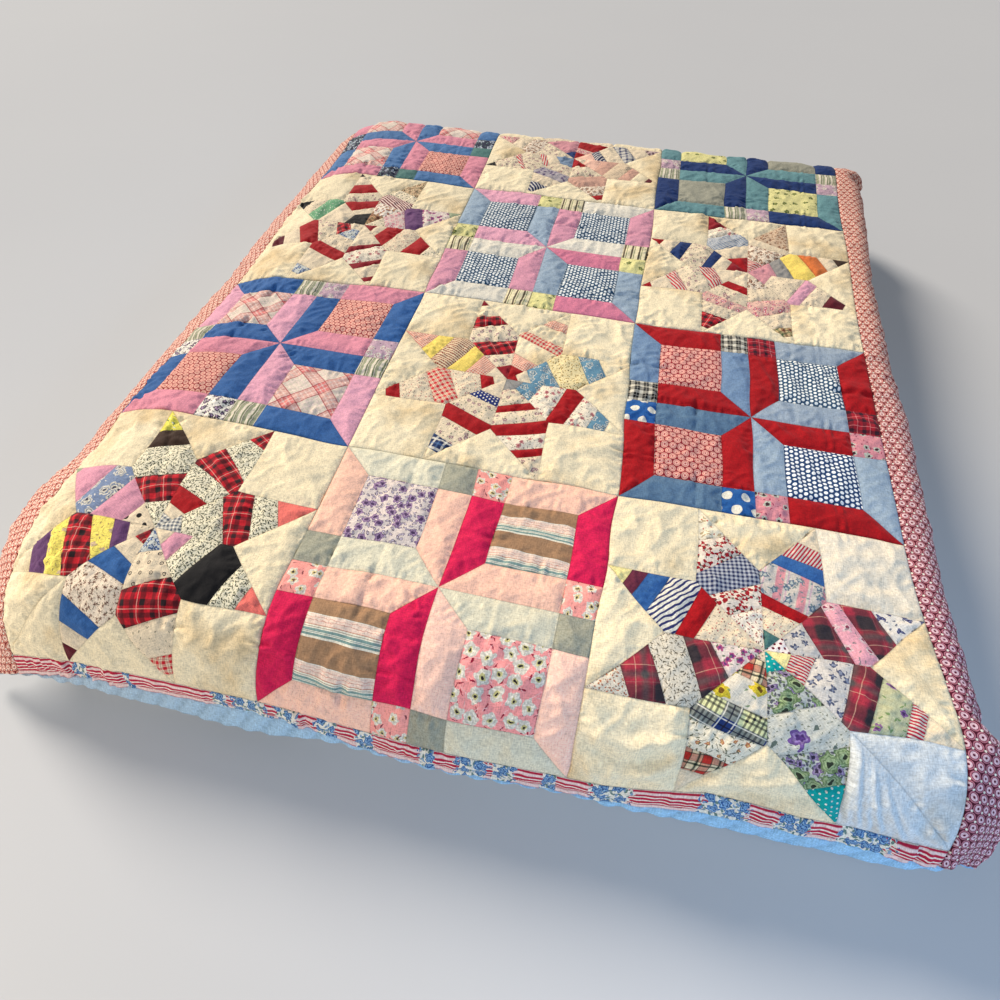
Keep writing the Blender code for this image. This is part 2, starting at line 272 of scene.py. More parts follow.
# What a print needs of its cloth: the way across, the way along and the spot, all in millimetres
Cloth = namedtuple("Cloth", "u v spot")

# How many go to a metre: clouds in the dye, old stains and gathers; and slubs to a millimetre
DYE_CLOUDS = 17
STAINS = 5.5
GATHERS = 105
SLUBS = 0.33
STAIN_TINT = dye(214, 190, 150)
# How wide the painted shade along each seam is, in millimetres
SEAM_SHADE_WIDTH = 1.8
GATHERED_TO = 11
WEAVE_RISE = 0.03
SLUB_RISE = 0.3


def cloth_material(name, ground, *prints, thread=0.8, nap=0.85, mottle=0.07, soil=0.0):
    """A woven cotton: its ground colour, the prints laid on it, its threads, its age, and the painted shade
    along its seams.

    thread is the pitch of the weave in millimetres, mottle the unevenness of the dye and soil the
    strength of the old brown stains.
    """
    material = bpy.data.materials.new(name)
    material.use_nodes = True
    tree = material.node_tree
    shader = tree.nodes["Principled BSDF"]
    start = Thread(tree)
    spot = start.node("UVMap", {"uv_map": "cloth"}).vectors("SCALE")
    spot.socket.node.inputs["Scale"].default_value = MILLIMETRES
    u = spot.node("SeparateXYZ", {}, {0: spot})
    v = u.also(1)
    colour = ground
    for lay in prints:
        colour = lay(Cloth(u, v, spot), colour)
    place = start.node("UVMap", {"uv_map": "quilt"})
    from_seam = start.node("Attribute", {"attribute_name": "seam"}, out=2) * MILLIMETRES
    shade = start.node("Attribute", {"attribute_name": "shade"}, out=2)
    cloudy = place.noise(DYE_CLOUDS, 4)
    slubs = spot.noise(SLUBS, 3)
    # Painted shade along the seams: the colour darkens by up to a quarter within 1.8 millimetres of a seam
    seam_shade = (from_seam * (1 / SEAM_SHADE_WIDTH)).maths("MINIMUM", 1)
    grain = 0
    for stretch in ((0.12, 0.55, 1), (0.55, 0.12, 1)):
        yarns = spot.vectors("MULTIPLY", stretch)
        grain = yarns.noise(1.0, 1) + grain
    tone = ((cloudy * (2 * mottle) + (1 - mottle)) * (slubs * 0.36 + 0.82) * (grain * 0.5 + 0.5)
            * (seam_shade * 0.26 + 0.74) * shade)
    aged_and_shaded = tone.node("Mix", {"data_type": "RGBA", "blend_type": "MULTIPLY"}, {0: 1.0, 6: colour, 7: tone},
                     out=2)
    if soil:
        blots = place.noise(STAINS, 5)
        mask = ((blots - 0.52) * 6).maths("MINIMUM", 1, clamp=True) * soil
        aged_and_shaded = mask.node("Mix", {"data_type": "RGBA", "blend_type": "MULTIPLY"},
                         {0: mask, 6: aged_and_shaded, 7: STAIN_TINT}, out=2)
    tree.links.new(aged_and_shaded.socket, shader.inputs["Base Color"])
    shader.inputs["Roughness"].default_value = nap
    shader.inputs["Sheen Weight"].default_value = 0.05
    shader.inputs["Sheen Roughness"].default_value = 0.45
    shader.inputs["Specular IOR Level"].default_value = 0.2
    weave = (u * (tau / thread)).maths("SINE") * (v * (tau / thread)).maths("SINE") * WEAVE_RISE
    gathers = place.noise(GATHERS, 2)
    near_seam = (from_seam * (-1 / GATHERED_TO)).maths("EXPONENT")
    height = weave + slubs * SLUB_RISE + gathers * (near_seam * 1.2 + 0.5)
    bump = height.node("Bump", {}, {"Strength": 1.0, "Distance": 0.001, "Height": height})
    tree.links.new(bump.socket, shader.inputs["Normal"])
    return material


def add_mesh(name, points, triangles, cloth_uv, quilt_uv, seam=None, shade=None, flat=None, looks=(),
             look_of=None):
    """One object of triangles, with its cloth's own coordinates, its place on the quilt and its distance
    from a seam for the shaders.  flat says which triangles turn a corner sharply."""
    mesh = bpy.data.meshes.new(name)
    mesh.from_pydata(points.tolist(), [], triangles.tolist())
    smooth = np.ones(len(triangles), bool) if flat is None else ~flat
    mesh.polygons.foreach_set("use_smooth", smooth)
    for layer, corners in (("cloth", cloth_uv), ("quilt", quilt_uv)):
        mesh.uv_layers.new(name=layer).data.foreach_set("uv", np.asarray(corners, np.float32).ravel())
    seam = np.full(len(points), 1.0) if seam is None else seam
    mesh.attributes.new("seam", "FLOAT", "POINT").data.foreach_set("value", seam.astype(np.float32))
    shade = np.ones(len(triangles)) if shade is None else shade
    mesh.attributes.new("shade", "FLOAT", "FACE").data.foreach_set("value", shade.astype(np.float32))
    for look in looks:
        mesh.materials.append(look)
    if look_of is not None:
        mesh.polygons.foreach_set("material_index", np.asarray(look_of, np.int32))
    mesh.update()
    piece = bpy.data.objects.new(name, mesh)
    bpy.context.scene.collection.objects.link(piece)
    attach(piece, "root")
    return piece


low, high = (np.array(corner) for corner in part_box("mattress"))
plain = mattress_rings(False)
SHIFT = np.array([*((low + high) / 2 - (plain.min((0, 1)) + plain.max((0, 1))) / 2)[:2], 0])
rings = mattress_rings(True) + SHIFT
around, down = rings.shape[:2]
steps_around = np.diff(rings[:, ROUND_FACETS], axis=0, append=rings[:1, ROUND_FACETS])
lengths_around = np.cumsum(np.linalg.norm(steps_around, axis=1))
lengths_around = np.concatenate([[0], lengths_around])
points = list(rings.reshape(-1, 3))
triangles, spans, on_wall = [], [], []
for i in range(around):
    for k in range(down - 1):
        a, b = i * down + k, (i + 1) % around * down + k
        for corner in ((a, b + 1, b), (a, a + 1, b + 1)):
            triangles.append(corner)
            spans.append([(lengths_around[i + (c // down != i)], points[c][2]) for c in corner])
            on_wall.append(0)
for level in (0, down - 1):
    middle = len(points)
    rim = rings[:, level]
    points.append((rim.min(0) + rim.max(0)) / 2)
    for i in range(around):
        a, b = i * down + level, (i + 1) % around * down + level
        corner = (middle, a, b) if level == 0 else (middle, b, a)
        triangles.append(corner)
        spans.append([(points[c][0], points[c][1]) for c in corner])
        on_wall.append(level // (down - 1))
points = np.array(points)
triangles = np.array(triangles)
TICKING_PANEL = dye(226, 222, 212)
TICKING_RIB = dye(214, 209, 196)
UNDERSIDE_FELT = dye(150, 150, 152)


def line_mask(x, pitch, middle, width, blur):
    """A mask of lines across x, one to a pitch; its middle, width and soft edge are shares of the pitch."""
    gap = ((x * (1 / pitch) + (1.5 - middle)).maths("FRACT") - 0.5).maths("ABSOLUTE")
    return (gap * (-1 / blur)).maths("ADD", width / 2 / blur + 0.5, clamp=True)


def stripes(pitch, *lines, way="v", blur=0.04):
    """Printed or woven lines one way of the cloth: the middle and width of each, as shares of the pitch,
    and its colour."""
    def lay(cloth, colour):
        for middle, width, tint in lines:
            colour = line_mask(getattr(cloth, way), pitch, middle, width, blur).mix(colour, tint)
        return colour
    return lay


ticking_lines = stripes(36, (0.3, 0.12, TICKING_RIB), (0.7, 0.34, TICKING_RIB), way="u")
looks = [cloth_material("cotton ticking", TICKING_PANEL, ticking_lines, thread=1.2),
         cloth_material("grey felt", UNDERSIDE_FELT, thread=2.0, nap=0.95)]
mattress = add_mesh("mattress", points, triangles, spans,
                    [[tuple(points[c][:2]) for c in t] for t in triangles],
                    looks=looks, look_of=on_wall)
mattress.name = "mattress_body"
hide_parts("mattress")


# ---- The backing ---------------------------------------------------------------------------------
# One light blue cotton sheet under the whole quilt, drawn down over the mattress's edges.  It hangs a
# little past the foot border, and its slanting rows of quilting draw its free edge into shallow scallops.

COLUMNS = 3
SIDE_BORDER = 0.117
END_BORDER = 0.038
SIDE_BLOCKS = SIDE_BORDER / BLOCK
END_BLOCKS = END_BORDER / BLOCK
TOP_THICK = 0.003
BACK_THICK = 0.002
GAP = 0.0003

# How far each crossing of the block seams lies from a true grid, in millimetres to the right and the head
Wander = namedtuple("Wander", "row right_by head_by")
SEAM_WANDER = (
    Wander(0, (-15, -15, 5, 20), (-5, -5, 0, 0)),
    Wander(1, (10, -5, 5, 0), (10, 5, 0, 0)),
    Wander(2, (15, 0, -5, -15), (-30, -5, -10, -5)),
    Wander(3, (-25, 0, 5, -15), (20, 0, -5, -5)),
    Wander(4, (0, -5, -5, 20), (-8, 0, 0, 30)),
)

# How far the foot border's seam bows from the line of its crossings: place in blocks, millimetres
# headwards
FOOT_BOW = (
    (0.00, 0), (0.40, -5), (0.80, -2), (1.00, 0), (1.30, -8), (1.90, -10), (2.10, -4), (2.25, 12),
    (2.37, 23), (2.50, 16), (2.62, 5), (2.75, 5), (2.90, -2), (3.00, -3),
)
BOW_FADE = 0.30

# Soft folds standing out from the hems: side, place along it and half width in blocks, height at the hem
Fold = namedtuple("Fold", "side at half_width height")
HEM_FOLDS = (
    Fold("foot", 1.55, 0.55, 0.012),
    Fold("foot", 2.35, 0.50, 0.010),
    Fold("foot", 2.90, 0.30, 0.006),
    Fold("head", 0.60, 0.30, 0.010),
    Fold("head", 1.30, 0.35, 0.007),
    Fold("head", 2.40, 0.40, 0.012),
    Fold("left", 0.80, 0.45, 0.008),
    Fold("left", 2.10, 0.50, 0.006),
    Fold("left", 3.35, 0.40, 0.020),
    Fold("right", 0.50, 0.35, 0.008),
    Fold("right", 1.55, 0.40, 0.006),
    Fold("right", 2.60, 0.45, 0.009),
    Fold("right", 3.50, 0.40, 0.028),
)
FOLD_FLARE = 4
HEM_FLARE = 0.36
LOFT = 0.003
LOFT_LENGTH = 0.330
LOFT_WAVES = ((1.0, 0.3, 0.0), (-0.4, 0.8, 1.3))
NORMAL_STEP = 0.0005

# How far the backing hangs past the foot border: place along the foot in blocks, length shown
BACKING_SHOWS = (
    (-0.23, 0.002), (0.10, 0.002), (0.20, 0.011), (0.35, 0.018), (0.50, 0.024), (0.65, 0.028),
    (0.80, 0.036), (0.95, 0.038), (1.05, 0.034), (1.15, 0.020), (1.25, 0.009), (1.45, 0.004),
    (2.05, 0.003), (2.20, 0.011), (2.35, 0.023), (2.60, 0.027), (2.76, 0.028), (2.88, 0.022),
    (2.96, 0.012), (3.05, 0.004), (3.23, 0.002),
)


def seam_wander(column, row):
    """How far the sewn seams stand off a true grid at a point of the quilt, to the right and to the head."""
    right = np.array([line.right_by for line in SEAM_WANDER]) / MILLIMETRES
    head = np.array([line.head_by for line in SEAM_WANDER]) / MILLIMETRES
    column = np.clip(column, 0, COLUMNS)
    row = np.clip(row, 0, ROWS)
    left_seam = np.minimum(column.astype(int), COLUMNS - 1)
    upper_seam = np.minimum(row.astype(int), ROWS - 1)
    across = ease(column - left_seam)
    along = ease(row - upper_seam)

    def blend(table):
        upper, lower = (table[seam, left_seam] * (1 - across) + table[seam, left_seam + 1] * across
                        for seam in (upper_seam, upper_seam + 1))
        return upper * (1 - along) + lower * along

    bow = np.interp(column, [place for place, by in FOOT_BOW],
                    [by / MILLIMETRES for place, by in FOOT_BOW])
    return blend(right), blend(head) + bow * ease((row - ROWS) / BOW_FADE + 1)


def over_the_edge(right, head):
    """Lay points of the flat cloth on the mattress's rounded edges; returns their places."""
    to_right = right >= 0
    to_head = head >= 0
    start_x = side_start(to_right, head)
    start_y = np.where(to_head, HEAD.start, FOOT.start)
    past_x = np.clip(np.abs(right) - start_x, 0, None)
    past_y = np.clip(np.abs(head) - start_y, 0, None)
    past = np.hypot(past_x, past_y)
    angle = np.arctan2(past_y, past_x)
    radius = corner_blend(np.where(to_right, RIGHT.radius, LEFT.radius),
                          np.where(to_head, HEAD.radius, FOOT.radius), CORNER_RADIUS, angle, np.maximum)
    slope = np.radians(corner_blend(np.where(to_right, RIGHT.slope, LEFT.slope),
                                    np.where(to_head, HEAD.slope, FOOT.slope),
                                    CORNER_SLOPE, angle, np.minimum))
    on_round = np.minimum(past, radius * slope)
    turned = on_round / radius
    straight = past - on_round
    reach = radius * np.sin(turned) + straight * np.cos(slope)
    drop = radius * (1 - np.cos(turned)) + straight * np.sin(slope)
    is_over = past > 0
    x = np.where(to_right, 1, -1) * (np.minimum(np.abs(right), start_x) + is_over * reach * np.cos(angle))
    y = np.where(to_head, 1, -1) * (np.minimum(np.abs(head), start_y) + is_over * reach * np.sin(angle))
    return np.stack([x, y, FACE_HEIGHT - drop], -1)


def stand_off(column, row, right, head):
    """How far the cloth's face stands off its plain skin: the loft on top and the folds at the hems."""
    waves = [np.sin(tau / LOFT_LENGTH * (by_right * right + by_head * head) + phase)
             for by_right, by_head, phase in LOFT_WAVES]
    total = LOFT * (0.5 + sum(waves) / (2 * len(waves)))
    hem_x = COLUMNS * BLOCK / 2 + SIDE_BORDER
    hem_y = ROWS * BLOCK / 2 + END_BORDER
    sides = {"left": (row, -right, LEFT, hem_x), "right": (row, right, RIGHT, hem_x),
             "foot": (column, -head, FOOT, hem_y), "head": (column, head, HEAD, hem_y)}
    for fold in HEM_FOLDS:
        place, outward, edge, hem = sides[fold.side]
        down = np.clip((outward - edge.start) / (hem - edge.start), 0, 1)
        swell = 0.5 + 0.5 * np.cos(pi * np.clip((place - fold.at) / fold.half_width, -1, 1))
        total = total + fold.height * swell * down ** FOLD_FLARE
    return total + HEM_FLARE * np.clip(-head - hem_y, 0, None)


def skin(column, row, lift):
    """Points of the cloth at a lift off the quilt's face."""
    def plain(shift_right, shift_head):
        wander_right, wander_head = seam_wander(column, row)
        right = (column - COLUMNS / 2) * BLOCK + wander_right + shift_right
        head = (ROWS / 2 - row) * BLOCK + wander_head + shift_head
        return over_the_edge(right, head), right, head

    place, right, head = plain(0, 0)
    along_width = plain(NORMAL_STEP, 0)[0] - plain(-NORMAL_STEP, 0)[0]
    along_length = plain(0, NORMAL_STEP)[0] - plain(0, -NORMAL_STEP)[0]
    normal = np.cross(along_width, along_length)
    normal /= np.linalg.norm(normal, axis=-1, keepdims=True)
    return place + SHIFT + normal * (stand_off(column, row, right, head) + lift)[..., None]


def lines_between(first, last, size):
    """Places from first to last, both included, in equal steps of about this size in metres."""
    return np.linspace(first, last, max(1, round((last - first) * BLOCK / size)) + 1)


def sheet(name, column, row, face_lift, under_lift, look, seam=None):
    """A closed sheet of cloth over a grid of places, between its face and its underside."""
    tall, wide = column.shape
    face = skin(column, row, face_lift).reshape(-1, 3)
    under = skin(column, row, under_lift).reshape(-1, 3)
    points = np.concatenate([face, under])
    numbers = np.arange(tall * wide).reshape(tall, wide)
    a, b, c, d = (part.ravel() for part in (numbers[:-1, :-1], numbers[:-1, 1:], numbers[1:, :-1],
                                            numbers[1:, 1:]))
    upper = np.concatenate([np.stack([a, c, d], 1), np.stack([a, d, b], 1)])
    around = np.concatenate([numbers[:, 0], numbers[-1, 1:], numbers[-2::-1, -1], numbers[0, -2:0:-1]])
    here, there = around, np.roll(around, -1)
    below = tall * wide
    skirt = np.concatenate([np.stack([here, here + below, there + below], 1),
                            np.stack([here, there + below, there], 1)])
    triangles = np.concatenate([upper, upper[:, ::-1] + below, skirt])
    flat = np.arange(len(triangles)) >= 2 * len(upper)
    places = np.stack([column.ravel() * BLOCK, -row.ravel() * BLOCK], 1)
    corners = np.concatenate([places, places])[triangles]
    seam = None if seam is None else np.tile(seam.ravel(), 2)
    return add_mesh(name, points, triangles, corners, corners, seam=seam, flat=flat, looks=[look])


QUILTING_PITCH = 0.041
QUILTING_SLANT = 0.7
QUILTING_RISE = 0.0042
SCALLOP = 0.0040
# How much the distance from a quilting line is shrunk, which widens the painted shade along it
LINE_SINKS = 0.22
BACKING_BLUE = dye(156, 200, 232)
BACKING_GREY = dye(178, 194, 206)

columns = lines_between(-SIDE_BLOCKS + GAP, COLUMNS + SIDE_BLOCKS - GAP, 0.0085)
hem_row = ROWS + END_BLOCKS
rows = np.concatenate([lines_between(-END_BLOCKS, ROWS - 0.2, 0.024),
                       lines_between(ROWS - 0.18, hem_row, 0.009)])
past_hem = np.linspace(0, 1, 15)[1:]
column, row = np.meshgrid(columns, np.concatenate([rows, hem_row + past_hem]))
shown = np.interp(columns, [place for place, length in BACKING_SHOWS],
                  [length for place, length in BACKING_SHOWS])
phase = columns * BLOCK / QUILTING_PITCH
shown = shown + SCALLOP * np.abs(np.sin(pi * phase)) * np.clip(shown / 0.01, 0, 1)
row[len(rows):] = hem_row + past_hem[:, None] * shown / BLOCK
across_lines = pi * (column * BLOCK + QUILTING_SLANT * (row - hem_row) * BLOCK) / QUILTING_PITCH
rise = QUILTING_RISE * np.abs(np.sin(across_lines)) * ease((row - hem_row) * BLOCK / 0.004)
from_line = np.abs(np.sin(across_lines)) * QUILTING_PITCH / pi
from_line = np.where(row > hem_row, from_line, 1.0)


def greyer_to_the_left(cloth, colour):
    """The backing's blue turns greyer towards its left end."""
    faded = (cloth.u * (-1 / 1100)).maths("ADD", 0.95, clamp=True)
    return faded.mix(BACKING_BLUE, BACKING_GREY)


# Its distance from the quilting lines goes in as its seam, so painted shade darkens the cloth along them
backing = sheet("backing_cloth", column, row, rise - TOP_THICK - GAP, rise - TOP_THICK - GAP - BACK_THICK,
                cloth_material("light blue cotton", BACKING_BLUE, greyer_to_the_left),
                seam=from_line * LINE_SINKS)
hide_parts("backing")


# ---- The scrap bag -------------------------------------------------------------------------------
# The quilt's top is pieced from unbleached muslin and about a hundred and twenty scraps of dress cotton
# and feed sack: plain dyes, woven checks and tartans, and small printed sprigs, dots and flowers.

WHITE = dye(232, 225, 210)
CREAM = dye(233, 213, 183)
MUSLIN = dye(242, 225, 190)
RED = dye(164, 8, 20)
BLACK = dye(24, 22, 24)


def tartan(pitch, *lines, blur=0.015, strength=0.62):
    """Woven lines both ways of the cloth, each half as strong where it crosses nothing."""
    def lay(cloth, colour):
        for middle, width, tint in lines:
            across = line_mask(cloth.u, pitch, middle, width, blur)
            along = line_mask(cloth.v, pitch, middle, width, blur)
            colour = (across + along).maths("MULTIPLY", strength, clamp=True).mix(colour, tint)
        return colour
    return lay


def gingham(pitch, tint):
    """An even check of one colour."""
    return tartan(pitch, (0.5, 0.5, tint), blur=0.06, strength=0.5)


def on_lattice(cloth, pitch):
    """How far a spot lies from the nearest point of a staggered lattice."""
    def nearest(shift):
        x = ((cloth.u * (1 / pitch) + shift).maths("FRACT") - 0.5) * pitch
        y = ((cloth.v * (1 / pitch / 1.73) + shift).maths("FRACT") - 0.5) * (pitch * 1.73)
        return (x * x + y * y).maths("SQRT")
    return nearest(0).maths("MINIMUM", nearest(0.5))


def dots(pitch, radius, tint):
    """Round dots in staggered rows."""
    return lambda cloth, colour: (on_lattice(cloth, pitch) < radius).mix(colour, tint)


def rings(pitch, *edges):
    """Discs within discs in staggered rows: each one's radius and colour, the widest first."""
    def lay(cloth, colour):
        away = on_lattice(cloth, pitch)
        for radius, tint in edges:
            colour = (away < radius).mix(colour, tint)
        return colour
    return lay


def scattered(cloth, pitch, seed, spread=1.0):
    """This spot as seen from the nearest scattered motif, turned its own way, and the motif's chance."""
    moved = cloth.spot.vectors("ADD", (seed * 137.3, seed * 71.9, 0))
    drift = moved.noise(2.6 / pitch, 1, out="Color").vectors("SUBTRACT", (0.5, 0.5, 0))
    drift = drift.vectors("MULTIPLY", (0.30 * pitch, 0.30 * pitch, 0))
    centre = moved.node("TexVoronoi", {"voronoi_dimensions": "2D"},
                        {"Vector": moved, "Scale": 1 / pitch, "Randomness": spread}, out="Position")
    chances = moved.node("SeparateColor", {}, {0: centre.also("Color")})
    seen = moved.vectors("ADD", drift).vectors("SUBTRACT", centre)
    turned = seen.node("VectorRotate", {"rotation_type": "Z_AXIS"},
                       {"Vector": seen, "Angle": chances * tau})
    x = turned.node("SeparateXYZ", {}, {0: turned})
    return x, x.also(1), chances.also(1)


def leaves(pitch, long, wide, tint, seed=0, share=1.0, off=0.0):
    """Scattered leaves or dashes, by half length and half width; off sets each beside its motif's middle."""
    def lay(cloth, colour):
        x, y, chance = scattered(cloth, pitch, seed)
        x, y = (x - off) * (1 / long), y * (1 / wide)
        mask = (x * x + y * y) < 1
        if share < 1:
            mask = mask * (chance < share)
        return mask.mix(colour, tint)
    return lay


def flowers(pitch, radius, *petals, seed=0, spread=1.0, share=1.0, lobes=5, curl=0.16):
    """Scattered flowers: each layer of petals by its share of the radius and colour, the widest first."""
    def lay(cloth, colour):
        x, y, chance = scattered(cloth, pitch, seed, spread)
        away = (x * x + y * y).maths("SQRT") * (1 / radius)
        petal_edge = (y.maths("ARCTAN2", x) * lobes).maths("COSINE") * curl + (1 - curl)
        brushed = cloth.spot.noise(3.2 / radius, 2)
        brushed = ((brushed - 0.42) * 4).maths("MINIMUM", 1, clamp=True)
        for size, tint in petals:
            mask = away < (petal_edge * size if size > 0.45 else size)
            if share < 1:
                mask = mask * (chance < share)
            shaded = tuple(0.68 * part for part in tint)
            colour = mask.mix(colour, brushed.mix(shaded, tint))
        return colour
    return lay


def blotches(size, tint, cover=0.5, sharp=12):
    """Uneven patches of a second colour."""
    def lay(cloth, colour):
        cloud = cloth.spot.noise(1 / size, 1)
        return (cloud - (1 - cover)).maths("MULTIPLY", sharp, clamp=True).mix(colour, tint)
    return lay


def slanted(degrees, *prints):
    """Prints turned on their cloth."""
    def lay(cloth, colour):
        turned = cloth.spot.node("VectorRotate", {"rotation_type": "Z_AXIS"},
                                 {"Vector": cloth.spot, "Angle": radians(degrees)})
        x = turned.node("SeparateXYZ", {}, {0: turned})
        for print_ in prints:
            colour = print_(Cloth(x, x.also(1), turned), colour)
        return colour
    return lay


def wavy(reach, length, *prints):
    """Prints whose lines wander from side to side."""
    def lay(cloth, colour):
        drift = cloth.spot.noise(1 / length, 1)
        v = cloth.v + (drift - 0.5) * (2 * reach)
        for print_ in prints:
            colour = print_(Cloth(cloth.u, v, cloth.spot), colour)
        return colour
    return lay


